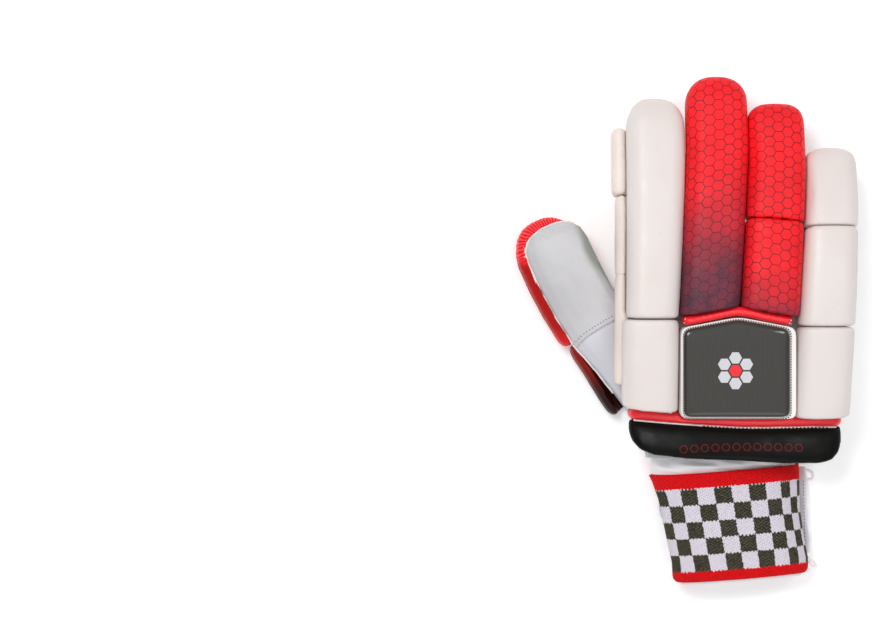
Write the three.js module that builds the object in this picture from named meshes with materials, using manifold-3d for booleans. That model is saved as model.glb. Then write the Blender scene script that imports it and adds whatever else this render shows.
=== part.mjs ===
// A right-hand cricket batting glove, lying palm down.
// Millimetres. +Z is up, +Y runs to the fingertips and -X to the thumb.
// The origin is on the floor, at the middle of the palm where the leather lies flat.
import * as THREE from "three";
import Module from "manifold-3d";
import { mergeVertices } from "three/addons/utils/BufferGeometryUtils.js";

const wasm = await Module();
wasm.setup();

// Walls and clearances
const LEATHER = 1.8; // wall of the hand shell and the stalls
const SEAM = 0.4; // gap that sewn neighbours keep
const PAD_GAP = 0.8; // gap between two pads in line
const FLOOR = 0; // what lies on it is flattened here

// Hand shell
const HAND_WIDTH = 120; // across the knuckles
const HAND_THICKNESS = 38; // floor to the back of the hand
const HAND_REACH = 88; // origin to the front of the hand, at the finger roots
const WRIST_REACH = 45; // origin to where the hand shell meets the sleeve
const HAND_CENTRE = 2.5; // x of the middle of the knuckles
const HAND_LEFT = HAND_CENTRE - HAND_WIDTH / 2;

// Finger stalls
const STALL_WIDTH = 26;
const STALL_THICKNESS = 24;
const STALL_ROOT = 26; // how far a stall runs back inside the hand
const STALL_ROUND = 11; // length of its rounded tip
const STALL_TAPER = [0.9, 0.8]; // width and thickness at the tip as shares of those at the root
const STALL_SPREAD = [0.9, 0.97]; // x of a stall as a share of its pad's, at the root and the tip
const TIP_BACK = 20.5; // height of a stall's back at its tip
const TIP_INSET = 5; // how far the leather ends short of its pad
const ARCH_START = 50; // y from which the fingers bend down
const ARCH_POWER = 1.8; // more bends them later

// Finger pads
const PAD_THICKNESS = 20.5; // foam above the leather
const PAD_TIP_THICKNESS = 16.5;
const PAD_WRAP = 7; // how far a pad reaches down the sides of the finger
const PAD_EDGE = 4.5; // rounding where two pads meet in line
const KNUCKLE_OVERHANG = 8.7; // how far the index pads reach past the hand at the knuckles
const TIP_OVERHANG = 7.7; // and at the tip
const KNUCKLE_GAP = 1.6; // gap between two pads side by side at the knuckles
const MIDDLE_TIP_GAP = 2.4; // gap before each pad at the tips
const RING_TIP_GAP = 1.6;
const LITTLE_TIP_GAP = 1.4;
const INDEX_PAD_WIDTH = 35.6;
const MIDDLE_PAD_WIDTH = 35;
const RING_PAD_WIDTH = 32.5;
const LITTLE_PAD_WIDTH = 29.6;
const INDEX_REACH = 169.2;
const MIDDLE_REACH = 182.4;
const RING_REACH = 165.4;
const LITTLE_REACH = 138;
const INDEX_PAD_SPLIT = 38.8; // y where two pads of a finger meet
const RING_PAD_SPLIT = 95.6;
const LITTLE_PAD_SPLIT = 91;
const LITTLE_BASE_SPLIT = 34.7;
const INDEX_PAD_START = -14.4; // y where the pads beside the plate begin
const LITTLE_PAD_START = -19.2;

// Guard beside the index finger
const GUARD_WIDTH = 15;
const GUARD_HEIGHT = 16;
const GUARD_DROP = 5; // its middle below the back of the hand
const GUARD_OUTSET = 6.6; // how far it shows past the index pads
const GUARD_MIDDLE_OUTSET = 4.4; // and its middle bar, which sits deeper
const GUARD_START = 0;
const GUARD_REACH = 153;
const GUARD_SPLIT = 63.7; // y where two of its bars meet
const GUARD_TIP_SPLIT = 112.9;

// Knuckle plate
const PLATE_WIDTH = 68.8;
const PLATE_LENGTH = 61; // with its peak
const PLATE_PEAK = 6.5; // rise of its pointed front edge
const PLATE_START = -20.4; // y of its rear edge
const PLATE_INSET = 23.5; // x of its left edge from the left side of the hand
const PLATE_X = HAND_LEFT + PLATE_INSET + PLATE_WIDTH / 2;
const PLATE_HEIGHT = 12; // foam above the back of the hand
const PLATE_CORNER = 5; // radius of its corners, seen from above
const PLATE_ROUND = 3; // rounding of its upper edge
const PIPING_LEFT = 2.9; // width of the piping along each edge
const PIPING_RIGHT = 4.8;
const PIPING_FRONT = 2.8;
const PIPING_REAR = 1.9;
const PIPING_THICKNESS = 3.6;
const PIPING_ROUND = 0.6;
const PANEL_THICKNESS = 2.6;
const PANEL_ROUND = 0.5;

// Rolls, cuff piping and flare
const ROLL_SEAT = 0.44; // height of a roll's middle above the leather as a share of its own height
const KNUCKLE_ROLL_WIDTH = 5;
const KNUCKLE_ROLL_HEIGHT = 15;
const CUFF_WIDTH = 126; // length of the cuff roll and width of the flare
const CUFF_X = HAND_CENTRE - 1.7; // their middle
const CUFF_ROLL_WIDTH = 6.8;
const CUFF_ROLL_HEIGHT = 14;
const CUFF_ROLL_Y = -21.3; // its middle
const CUFF_DROOP = 7; // how far the ends of the roll and flare hang lower than the middle
const CUFF_PIPING_WIDTH = 2.4;
const CUFF_PIPING_TUCK = 0.6; // how far it is pushed under the roll
const CUFF_PIPING_RISE = 2.2; // above the middle of the roll
const CUFF_PIPING_INSET = 2; // shorter than the roll, at each end
const FLARE_LENGTH = 21;
const FLARE_THICKNESS = 11;
const FLARE_TILT = 13; // degrees that it stands off the wrist

// Thumb
const THUMB_LENGTH = 121; // from inside the palm to the tip
const THUMB_WIDTH = 39;
const THUMB_THICKNESS = 24;
const THUMB_ROUND = 15;
const THUMB_X = -43; // where its middle line starts
const THUMB_Y = -5;
const THUMB_PAD = 6.5; // foam beside and past the leather of the outer pad
const THUMB_PAD_BASE = 5; // and beside that of the inner pad
const THUMB_PAD_UNDER = 7; // foam under the leather
const THUMB_PAD_TOP = 4.8; // upper edge of the foam above the middle of the thumb
const THUMB_PAD_COVER = 36; // how far the foam reaches round the underside
const THUMB_PAD_START = 0.09; // share of the thumb's length where the pads begin
const THUMB_PAD_SPLIT = 0.45; // share of its length where they meet

// Wrist
const SLEEVE_WALL = 1.6;
const SLEEVE_NECK = 7.2; // hand shell to band
const BAND_LENGTH = 65.5;
const BAND_WALL = 2.4;
const BAND_WIDTH = 89.5; // at its upper edge
const BAND_HEM_WIDTH = 80.5;
const BAND_THICKNESS = 29;
const BAND_HEM = 2; // how far the sleeve shows below the band
const BAND_LEAN = 9; // degrees between the hand's length and the band's
const BAND_TURN = 4.6; // degrees that its edges are turned
const TAB_THICKNESS = 2.2;
const TAB_WIDTH = 38; // how far it reaches under the band
const TAB_LENGTH = 53;
const TAB_OUTSET = 5; // how far it shows past the band
const TAB_LEAN = 5.5; // degrees, along the band's edge
const TAB_CURLED = 14.4; // width of the part that curls up
const TAB_CURL = 5; // rise of its free edge

// Materials
const cream = new THREE.MeshStandardMaterial({ color: 0xebe3df, roughness: 0.5, metalness: 0 });
const red = new THREE.MeshStandardMaterial({ color: 0xe8202c, roughness: 0.45, metalness: 0 });
const black = new THREE.MeshStandardMaterial({ color: 0x1c1c1a, roughness: 0.35, metalness: 0 });
const leather = new THREE.MeshStandardMaterial({ color: 0xcfcfd4, roughness: 0.6, metalness: 0 });
const cloth = new THREE.MeshStandardMaterial({ color: 0xe4e0e0, roughness: 0.8, metalness: 0 });
const knit = new THREE.MeshStandardMaterial({ color: 0x8c8a86, roughness: 0.9, metalness: 0 });
const trim = new THREE.MeshStandardMaterial({ color: 0xeeebe6, roughness: 0.5, metalness: 0 });

const mix = THREE.MathUtils.lerp;
const clamp = THREE.MathUtils.clamp;
const radians = THREE.MathUtils.degToRad;

// Solids and meshes

function solidOf(points, faces) {
  return new wasm.Manifold(
    new wasm.Mesh({
      numProp: 3,
      vertProperties: new Float32Array(points.flatMap((p) => [p.x, p.y, p.z])),
      triVerts: new Uint32Array(faces),
    }),
  );
}

// One closed solid through rings of points, all with as many points and turning the same way
function skin(rings) {
  const count = rings[0].length;
  const points = rings.flat();
  const faces = [];
  for (let i = 0; i + 1 < rings.length; i++)
    for (let j = 0; j < count; j++) {
      const a = i * count + j;
      const b = i * count + ((j + 1) % count);
      faces.push([a, b, b + count], [a, b + count, a + count]);
    }
  const last = (rings.length - 1) * count;
  for (const first of [0, last]) {
    const centre = new THREE.Vector3();
    for (let j = 0; j < count; j++) centre.addScaledVector(points[first + j], 1 / count);
    points.push(centre);
    for (let j = 0; j < count; j++) {
      const [a, b] = [first + j, first + ((j + 1) % count)];
      faces.push(first === 0 ? [b, a, points.length - 1] : [a, b, points.length - 1]);
    }
  }
  const made = solidOf(points, faces.flat());
  if (made.volume() > 0) return made;
  return solidOf(points, faces.map(([a, b, c]) => [a, c, b]).flat());
}

// A geometry of three.js as a solid
function solidFrom(geometry) {
  geometry.deleteAttribute("normal");
  geometry.deleteAttribute("uv");
  const merged = mergeVertices(geometry, 1e-3);
  return new wasm.Manifold(
    new wasm.Mesh({
      numProp: 3,
      vertProperties: merged.attributes.position.array,
      triVerts: new Uint32Array(merged.index.array),
    }),
  );
}

function meshOf(name, solid, material) {
  const { vertProperties, triVerts, numProp, numVert } = solid.getMesh();
  const positions = new Float32Array(numVert * 3);
  for (let i = 0; i < numVert; i++)
    positions.set(vertProperties.subarray(i * numProp, i * numProp + 3), i * 3);
  const geometry = new THREE.BufferGeometry();
  geometry.setAttribute("position", new THREE.BufferAttribute(positions, 3));
  geometry.setIndex(new THREE.BufferAttribute(triVerts, 1));
  geometry.computeVertexNormals();
  const mesh = new THREE.Mesh(geometry, material);
  mesh.name = name;
  return mesh;
}

// A rounded section: pairs across and up, on a superellipse
function section(halfWidth, halfHeight, squareness, count) {
  const round = (value) => Math.sign(value) * Math.abs(value) ** (2 / squareness);
  const points = [];
  for (let k = 0; k < count; k++) {
    const angle = (2 * Math.PI * k) / count;
    points.push([halfWidth * round(Math.cos(angle)), halfHeight * round(Math.sin(angle))]);
  }
  return points;
}

// Value of a table's column at a place between its rows
function along(table, place, column) {
  const i = clamp(table.findIndex((row) => row.at > place) - 1, 0, table.length - 2);
  const [p, q] = place >= table.at(-1).at ? table.slice(-2) : [table[i], table[i + 1]];
  return mix(p[column], q[column], clamp((place - p.at) / (q.at - p.at), 0, 1));
}

// Rounded ends. inset: share of the rounding's length still to come; size: share of the full section.
function roundEnd(squareness) {
  return [0.5, 0.22, 0.07, 0.01].map((inset) => {
    const size = (1 - (1 - inset) ** squareness) ** (1 / squareness);
    return { inset, size };
  });
}
const PAD_END = [
  { inset: 0.3, size: 0.955 },
  { inset: 0, size: 0.87 },
];

// Hand shell. at: share of the way from the wrist to the front; shift and width: x of the middle and width, as
// shares of the full width; low and high: underside and back, as shares of the thickness; square: squareness.
const HAND_SECTIONS = [
  { at: 0, shift: -0.058, width: 0.767, low: 0.08, high: 0.79, square: 2.3 },
  { at: 0.12, shift: -0.054, width: 0.82, low: -0.04, high: 0.85, square: 2.6 },
  { at: 0.27, shift: -0.03, width: 0.9, low: -0.06, high: 0.93, square: 2.8 },
  { at: 0.45, shift: -0.012, width: 0.955, low: -0.06, high: 0.985, square: 3 },
  { at: 0.63, shift: 0, width: 0.99, low: -0.02, high: 1, square: 3 },
  { at: 0.79, shift: 0, width: 1, low: 0.12, high: 0.995, square: 3 },
  { at: 0.91, shift: 0, width: 0.99, low: 0.26, high: 0.965, square: 3 },
  { at: 0.97, shift: 0, width: 0.955, low: 0.33, high: 0.92, square: 2.8 },
  { at: 1, shift: 0, width: 0.89, low: 0.42, high: 0.84, square: 2.6 },
];
const HAND_POINTS = 24;

function handRing(row, grow, end) {
  const y = mix(-WRIST_REACH, HAND_REACH, row.at) + end;
  const x = HAND_CENTRE + row.shift * HAND_WIDTH;
  const middle = ((row.low + row.high) / 2) * HAND_THICKNESS;
  const halfWidth = (row.width * HAND_WIDTH) / 2 + grow;
  const halfHeight = ((row.high - row.low) / 2) * HAND_THICKNESS + grow;
  return section(halfWidth, halfHeight, row.square, HAND_POINTS).map(
    ([across, up]) => new THREE.Vector3(x + across, y, Math.max(middle + up, FLOOR - grow)),
  );
}

// The hand's outer form, grown by a clearance or shrunk by the leather; it is open at the wrist
function handForm(grow) {
  const last = HAND_SECTIONS.length - 1;
  const ends = (i) => (i === 0 ? -Math.abs(grow) : i === last ? grow : 0);
  return skin(HAND_SECTIONS.map((row, i) => handRing(row, grow, ends(i))));
}

// Height of the back of the hand at y
function handBack(y) {
  const place = (y + WRIST_REACH) / (WRIST_REACH + HAND_REACH);
  return along(HAND_SECTIONS, place, "high") * HAND_THICKNESS;
}

// Plate and knuckle roll: y of the plate's pointed front edge at x, and where the pads in front begin
const PLATE_SLOPE = PLATE_PEAK / (PLATE_WIDTH / 2);
const PLATE_FRONT = PLATE_START + PLATE_LENGTH;
const plateFront = (x) => PLATE_FRONT - PLATE_SLOPE * Math.abs(x - PLATE_X);
const padStart = (x) => plateFront(x) + KNUCKLE_ROLL_WIDTH + 2 * SEAM;

// Fingers. narrow: pad width at the knuckles as a share of the full width; lean: how the pads behind
// the knuckles drift across for each mm; round and square: length and form of the rounded tip.
const FINGERS = {
  index: { reach: INDEX_REACH, width: INDEX_PAD_WIDTH, gap: 0, narrow: 0.88, lean: 0, round: 19, square: 2.3 },
  middle: {
    reach: MIDDLE_REACH,
    width: MIDDLE_PAD_WIDTH,
    gap: MIDDLE_TIP_GAP,
    narrow: 0.98,
    lean: 0,
    round: 17,
    square: 2.2,
  },
  ring: {
    reach: RING_REACH,
    width: RING_PAD_WIDTH,
    gap: RING_TIP_GAP,
    narrow: 1.025,
    lean: 0,
    round: 14,
    square: 2.8,
  },
  little: {
    reach: LITTLE_REACH,
    width: LITTLE_PAD_WIDTH,
    gap: LITTLE_TIP_GAP,
    narrow: 1.07,
    lean: 0.05,
    round: 11,
    square: 2.8,
  },
};
let knuckleEdge = HAND_LEFT - KNUCKLE_OVERHANG;
let tipEdge = HAND_LEFT - TIP_OVERHANG;
for (const finger of Object.values(FINGERS)) {
  const knuckleWidth = finger.width * finger.narrow;
  finger.knuckleX = knuckleEdge + knuckleWidth / 2;
  finger.tipX = tipEdge + finger.gap + finger.width / 2;
  knuckleEdge += knuckleWidth + KNUCKLE_GAP;
  tipEdge += finger.gap + finger.width;
}

// Share of the way from the knuckles to where a finger's pads have their full width
const fingerShare = (finger, y) => (y - PLATE_FRONT) / (0.7 * (finger.reach - PLATE_FRONT));

function padX(finger, y) {
  const share = fingerShare(finger, y);
  if (share < 0) return finger.knuckleX + finger.lean * (y - PLATE_FRONT);
  return mix(finger.knuckleX, finger.tipX, Math.min(share, 1));
}

const padWidth = (finger, y) =>
  finger.width * mix(finger.narrow, 1, clamp(fingerShare(finger, y), 0, 1));

// Height of the leather's back under a finger's pads
function fingerBack(finger, y) {
  const bend = Math.max((y - ARCH_START) / (finger.reach - ARCH_START), 0);
  const straight = y < ARCH_START ? handBack(y) : HAND_THICKNESS;
  return straight - (HAND_THICKNESS - TIP_BACK) * bend ** ARCH_POWER;
}

// A ring across a finger at y, its middle raised off the leather's back, square to the finger's slope
function fingerRing(finger, y, x, raised, slant, outline) {
  const slope = Math.atan(fingerBack(finger, y + 0.5) - fingerBack(finger, y - 0.5));
  const back = fingerBack(finger, y);
  return outline.map(([across, up]) => {
    const out = raised + up;
    const run = slant * across;
    return new THREE.Vector3(
      x + across,
      y + run - Math.sin(slope) * out,
      Math.max(back + Math.cos(slope) * out + Math.sin(slope) * run, FLOOR),
    );
  });
}

const STALL_POINTS = 10;
const STALL_SQUARENESS = 2.4;
const STALL_STEPS = 4;

function stallForm(finger, grow) {
  const root = HAND_REACH - STALL_ROOT;
  const tip = finger.reach - TIP_INSET;
  const ring = (y, size) => {
    const share = (y - root) / (tip - root);
    const x = HAND_CENTRE + (padX(finger, y) - HAND_CENTRE) * mix(...STALL_SPREAD, share);
    const halfWidth = (STALL_WIDTH / 2) * mix(1, STALL_TAPER[0], share);
    const halfHeight = (STALL_THICKNESS / 2) * mix(1, STALL_TAPER[1], share);
    const outline = section(
      halfWidth * size + grow,
      halfHeight * size + grow,
      STALL_SQUARENESS,
      STALL_POINTS,
    );
    return fingerRing(finger, y, x, -halfHeight, 0, outline);
  };
  const rings = [];
  for (let i = 0; i <= STALL_STEPS; i++) rings.push(ring(mix(root, tip - STALL_ROUND, i / STALL_STEPS), 1));
  for (const { inset, size } of roundEnd(2)) rings.push(ring(tip - STALL_ROUND * inset + grow, size));
  return skin(rings);
}

// Pads of a finger, from y to y. slant: how the two ends run back for each mm across.
const PAD_POINTS = 14;
const PAD_SQUARENESS = 3;
const PAD_STEP = 24; // distance between rings along a pad

function padForm(finger, from, to, slants, grow) {
  const tip = to === finger.reach;
  const ring = (y, size) => {
    const share = clamp((y - from) / (to - from), 0, 1);
    const reached = clamp((y - ARCH_START) / (finger.reach - ARCH_START), 0, 1);
    const thickness = mix(PAD_THICKNESS, PAD_TIP_THICKNESS, reached);
    const halfHeight = (thickness + PAD_WRAP) / 2;
    const outline = section(
      (padWidth(finger, y) / 2) * size + grow,
      halfHeight * size + grow,
      PAD_SQUARENESS,
      PAD_POINTS,
    );
    const raised = (thickness - PAD_WRAP) / 2;
    return fingerRing(finger, y, padX(finger, y), raised, mix(...slants, share), outline);
  };
  const end = tip ? finger.round : PAD_EDGE;
  const rings = [...PAD_END].reverse().map(({ inset, size }) => ring(from + PAD_EDGE * inset - grow, size));
  const [start, stop] = [from + PAD_EDGE, to - end];
  const steps = Math.ceil((stop - start) / PAD_STEP);
  for (let i = 0; i <= steps; i++) rings.push(ring(mix(start, stop, i / steps), 1));
  for (const { inset, size } of tip ? roundEnd(finger.square) : PAD_END)
    rings.push(ring(to - end * inset + grow, size));
  return skin(rings);
}

const half = PAD_GAP / 2;
const { index, middle, ring, little } = FINGERS;
const FINGER_PADS = {
  index_pad_long: [index, INDEX_PAD_SPLIT + half, index.reach, [0, 0], cream],
  index_pad_base: [index, INDEX_PAD_START, INDEX_PAD_SPLIT - half, [-0.115, 0], cream],
  middle_pad: [middle, padStart(middle.knuckleX), middle.reach, [PLATE_SLOPE, 0], red],
  ring_pad_tip: [ring, RING_PAD_SPLIT + half, ring.reach, [-0.09, 0], red],
  ring_pad_base: [ring, padStart(ring.knuckleX), RING_PAD_SPLIT - half, [-PLATE_SLOPE, -0.09], red],
  little_pad_tip: [little, LITTLE_PAD_SPLIT + half, little.reach, [0, 0], cream],
  little_pad_middle: [little, LITTLE_BASE_SPLIT + half, LITTLE_PAD_SPLIT - half, [0, 0], cream],
  little_pad_base: [little, LITTLE_PAD_START, LITTLE_BASE_SPLIT - half, [0.03, 0], cream],
};

// Guard beside the index finger, in bars
const GUARD_POINTS = 12;
const GUARD_SQUARENESS = 2.6;

function guardForm(from, to, outset, grow) {
  const ring = (y, size) => {
    const halfWidth = GUARD_WIDTH / 2;
    const x = padX(index, y) - padWidth(index, y) / 2 - outset + halfWidth;
    const outline = section(
      halfWidth * size + grow,
      (GUARD_HEIGHT / 2) * size + grow,
      GUARD_SQUARENESS,
      GUARD_POINTS,
    );
    return fingerRing(index, y, x, -GUARD_DROP, 0, outline);
  };
  const rings = [...PAD_END].reverse().map(({ inset, size }) => ring(from + PAD_EDGE * inset - grow, size));
  for (let i = 0; i <= 2; i++) rings.push(ring(mix(from + PAD_EDGE, to - PAD_EDGE, i / 2), 1));
  for (const { inset, size } of PAD_END) rings.push(ring(to - PAD_EDGE * inset + grow, size));
  return skin(rings);
}

const GUARDS = {
  index_guard_tip: [GUARD_TIP_SPLIT + half, GUARD_REACH, GUARD_OUTSET],
  index_guard_middle: [GUARD_SPLIT + half, GUARD_TIP_SPLIT - half, GUARD_MIDDLE_OUTSET],
  index_guard_base: [GUARD_START, GUARD_SPLIT - half, GUARD_OUTSET],
};

// Thumb. Its middle line: x and y as shares of its length from where it starts, z as a share of its thickness.
const THUMB_PATH = [
  [0, 0, 0.54],
  [-0.157, 0.19, 0.56],
  [-0.302, 0.343, 0.66],
  [-0.426, 0.545, 0.78],
  [-0.553, 0.82, 0.84],
];
const thumbLine = new THREE.CatmullRomCurve3(
  THUMB_PATH.map(
    ([x, y, z]) =>
      new THREE.Vector3(THUMB_X + x * THUMB_LENGTH, THUMB_Y + y * THUMB_LENGTH, z * THUMB_THICKNESS),
  ),
);
const THUMB_POINTS = 14;
const THUMB_SQUARENESS = 2.8;
const THUMB_TIP_SQUARENESS = 2.4;
const THUMB_STEPS = 6;

// A ring across the thumb, moved sideways and up from its middle line and past its end
function thumbRing(share, past, sideways, raised, outline) {
  const middle = thumbLine.getPointAt(clamp(share, 0, 1));
  const heading = thumbLine.getTangentAt(clamp(share, 0, 1)).setZ(0).normalize();
  const across = new THREE.Vector3(heading.y, -heading.x, 0);
  return outline.map(([x, z]) => {
    const p = middle.clone().addScaledVector(across, sideways + x).addScaledVector(heading, past);
    return p.setZ(Math.max(p.z + raised + z, FLOOR));
  });
}

// Thumb's width and thickness at a share of its length, as shares of the full sizes
const thumbWide = (share) => mix(1.14, 1, clamp(share * 2, 0, 1));
const thumbThick = (share) => mix(0.86, 1, clamp(share * 1.6, 0, 1));

function thumbForm(grow) {
  const round = THUMB_ROUND / THUMB_LENGTH;
  const ring = (share, size, past) =>
    thumbRing(
      share,
      past,
      0,
      0,
      section(
        (thumbWide(share) * size * THUMB_WIDTH) / 2 + grow,
        (thumbThick(share) * size * THUMB_THICKNESS) / 2 + grow,
        THUMB_SQUARENESS,
        THUMB_POINTS,
      ),
    );
  const start = Math.max(-grow, 0) / THUMB_LENGTH;
  const rings = [ring(start, 1, -Math.max(grow, 0))];
  for (let i = 1; i <= THUMB_STEPS; i++) rings.push(ring(mix(start, 1 - round, i / THUMB_STEPS), 1, 0));
  for (const { inset, size } of roundEnd(THUMB_TIP_SQUARENESS)) rings.push(ring(1 - round * inset, size, grow));
  return skin(rings);
}

// A pad of the thumb, round its outer side, its underside and, for the last one, its tip
function thumbPadForm(from, to, foam, grow) {
  const tip = to === 1;
  const ring = (share, size, past) => {
    const halfWidth = (THUMB_PAD_COVER + foam) / 2;
    const outer = (thumbWide(share) * THUMB_WIDTH) / 2 + foam;
    const bottom = (thumbThick(share) * THUMB_THICKNESS) / 2 + THUMB_PAD_UNDER;
    const halfHeight = (THUMB_PAD_TOP + bottom) / 2;
    const outline = section(
      halfWidth * size + grow,
      halfHeight * size + grow,
      THUMB_SQUARENESS,
      THUMB_POINTS,
    );
    return thumbRing(share, past, halfWidth - outer, (THUMB_PAD_TOP - bottom) / 2, outline);
  };
  const edge = PAD_EDGE / THUMB_LENGTH;
  const round = (THUMB_ROUND + THUMB_PAD) / THUMB_LENGTH;
  const rings = [...PAD_END].reverse().map(({ inset, size }) => ring(from + edge * inset, size, -grow));
  const [start, stop] = [from + edge, tip ? 1 + THUMB_PAD / THUMB_LENGTH - round : to - edge];
  for (let i = 0; i <= 3; i++) rings.push(ring(mix(start, stop, i / 3), 1, 0));
  if (tip)
    for (const { inset, size } of roundEnd(THUMB_TIP_SQUARENESS)) {
      const share = 1 - round * inset;
      rings.push(ring(share, size, grow + THUMB_PAD * (1 - inset)));
    }
  else for (const { inset, size } of PAD_END) rings.push(ring(to - edge * inset, size, grow));
  return skin(rings);
}

// A plan outline with rounded corners
function roundedShape(corners, radius) {
  const points = corners.map(([x, y]) => new THREE.Vector2(x, y));
  const shape = new THREE.Shape();
  points.forEach((corner, i) => {
    const before = points.at(i - 1);
    const after = points[(i + 1) % points.length];
    const start = corner.clone().add(before.clone().sub(corner).setLength(radius));
    const stop = corner.clone().add(after.clone().sub(corner).setLength(radius));
    if (i === 0) shape.moveTo(start.x, start.y);
    else shape.lineTo(start.x, start.y);
    shape.quadraticCurveTo(corner.x, corner.y, stop.x, stop.y);
  });
  shape.closePath();
  return shape;
}

// The plate's five-sided outline, its edges moved in
function plateOutline(left, right, front, rear) {
  const [x0, x1] = [PLATE_X - PLATE_WIDTH / 2 + left, PLATE_X + PLATE_WIDTH / 2 - right];
  const corners = [
    [x0, PLATE_START + rear],
    [x1, PLATE_START + rear],
    [x1, plateFront(x1) - front],
    [PLATE_X, PLATE_FRONT - front],
    [x0, plateFront(x0) - front],
  ];
  return roundedShape(corners, PLATE_CORNER - 0.5 * Math.max(left, 0));
}

function slab(shape, bottom, thickness, bevel) {
  const geometry = new THREE.ExtrudeGeometry(shape, {
    depth: thickness - 2 * bevel,
    bevelSize: bevel,
    bevelOffset: -bevel,
    bevelThickness: bevel,
    bevelSegments: 2,
    curveSegments: 3,
  });
  return solidFrom(geometry.translate(0, 0, bottom + bevel));
}

const PLATE_TOP = HAND_THICKNESS + PLATE_HEIGHT;
const PLATE_ROOT = 0.6 * HAND_THICKNESS; // inside the hand, before the foam is trimmed to it
const plateForm = (grow) =>
  slab(plateOutline(-grow, -grow, -grow, -grow), PLATE_ROOT, PLATE_TOP + grow - PLATE_ROOT, PLATE_ROUND);

function pipingForm() {
  const outline = plateOutline(0, 0, 0, 0);
  const inner = plateOutline(PIPING_LEFT, PIPING_RIGHT, PIPING_FRONT, PIPING_REAR);
  outline.holes.push(new THREE.Path(inner.getPoints(3)));
  return slab(outline, PLATE_TOP + SEAM, PIPING_THICKNESS, PIPING_ROUND);
}

function panelForm() {
  const outline = plateOutline(
    PIPING_LEFT + SEAM,
    PIPING_RIGHT + SEAM,
    PIPING_FRONT + SEAM,
    PIPING_REAR + SEAM,
  );
  return slab(outline, PLATE_TOP + SEAM, PANEL_THICKNESS, PANEL_ROUND);
}

// A bar along a curve seen from above, with an upright section and rounded ends
const BAR_POINTS = 8;
const BAR_SQUARENESS = 2.4;
const BAR_END = [
  { inset: 0.4, size: 0.8 },
  { inset: 0.05, size: 0.4 },
];

function bar(curve, halfWidth, halfHeight, steps, grow) {
  const length = curve.getLength();
  const ring = (share, size, past) => {
    const middle = curve.getPointAt(share);
    const heading = curve.getTangentAt(share).setZ(0).normalize();
    const across = new THREE.Vector3(heading.y, -heading.x, 0);
    const outline = section(
      halfWidth * size + grow,
      halfHeight * size + grow,
      BAR_SQUARENESS,
      BAR_POINTS,
    );
    return outline.map(([x, z]) => {
      const p = middle.clone().addScaledVector(across, x).addScaledVector(heading, past);
      return p.setZ(p.z + z);
    });
  };
  const round = halfWidth / length;
  const rings = [...BAR_END].reverse().map(({ inset, size }) => ring(inset * round, size, -grow));
  for (let i = 0; i <= steps; i++) rings.push(ring(mix(round, 1 - round, i / steps), 1, 0));
  for (const { inset, size } of BAR_END) rings.push(ring(1 - inset * round, size, grow));
  return skin(rings);
}

// Knuckle roll, along the plate's front edge
function knuckleRollForm() {
  const halfWidth = KNUCKLE_ROLL_WIDTH / 2;
  const reach = PLATE_WIDTH / 2 - halfWidth;
  const points = [-1, -0.5, 0, 0.5, 1].map((share) => {
    const x = PLATE_X + share * reach;
    const z = HAND_THICKNESS + ROLL_SEAT * KNUCKLE_ROLL_HEIGHT;
    return new THREE.Vector3(x, plateFront(x) + SEAM + halfWidth, z);
  });
  const curve = new THREE.CatmullRomCurve3(points);
  return bar(curve, halfWidth, KNUCKLE_ROLL_HEIGHT / 2, 8, 0);
}

// Lines along the cuff, at a distance behind the middle of the roll. They run back at the little finger's side.
const CUFF_HALF = CUFF_WIDTH / 2;
const CUFF_BOW = 0.19; // share of the roll's width
const CUFF_SKEW = 0.44; // share of the roll's width
function cuffLine(behind, height, reach) {
  const points = [-1, -0.75, -0.4, 0, 0.4, 0.75, 1].map((share) => {
    const u = (share * reach) / CUFF_HALF;
    const y = CUFF_ROLL_Y - behind + CUFF_ROLL_WIDTH * (CUFF_BOW * u * u - CUFF_SKEW * u);
    return new THREE.Vector3(CUFF_X + u * CUFF_HALF, y, height - CUFF_DROOP * u * u);
  });
  return new THREE.CatmullRomCurve3(points);
}

const CUFF_ROLL_Z = handBack(CUFF_ROLL_Y) + ROLL_SEAT * CUFF_ROLL_HEIGHT;
const cuffRollForm = (grow) =>
  bar(cuffLine(0, CUFF_ROLL_Z, CUFF_HALF), CUFF_ROLL_WIDTH / 2, CUFF_ROLL_HEIGHT / 2, 12, grow);

const PIPING_BEHIND = (CUFF_ROLL_WIDTH + CUFF_PIPING_WIDTH) / 2 - CUFF_PIPING_TUCK;
const cuffPipingLine = cuffLine(
  PIPING_BEHIND,
  CUFF_ROLL_Z + CUFF_PIPING_RISE,
  CUFF_HALF - CUFF_PIPING_INSET,
);
const cuffPipingForm = (grow) =>
  bar(cuffPipingLine, CUFF_PIPING_WIDTH / 2, 0.8 * CUFF_PIPING_WIDTH, 12, grow);

// Flare: sections along its width. at: share of half its width; size: share of its length;
// thin: share of its thickness.
const FLARE_SECTIONS = [
  { at: -1, size: 0.36, thin: 0.4 },
  { at: -0.97, size: 0.62, thin: 0.72 },
  { at: -0.9, size: 0.84, thin: 0.95 },
  { at: -0.78, size: 0.96, thin: 1 },
  { at: -0.45, size: 1, thin: 1 },
  { at: -0.15, size: 0.97, thin: 1 },
  { at: 0.15, size: 0.97, thin: 1 },
  { at: 0.45, size: 1, thin: 1 },
  { at: 0.78, size: 0.98, thin: 1 },
  { at: 0.9, size: 0.88, thin: 0.95 },
  { at: 0.97, size: 0.66, thin: 0.72 },
  { at: 1, size: 0.4, thin: 0.4 },
];
const FLARE_POINTS = 14;
const FLARE_SQUARENESS = 3;
const FLARE_START = CUFF_ROLL_WIDTH / 2 + SEAM;
const FLARE_Z = handBack(CUFF_ROLL_Y) + SEAM + 0.5 * FLARE_THICKNESS;

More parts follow.
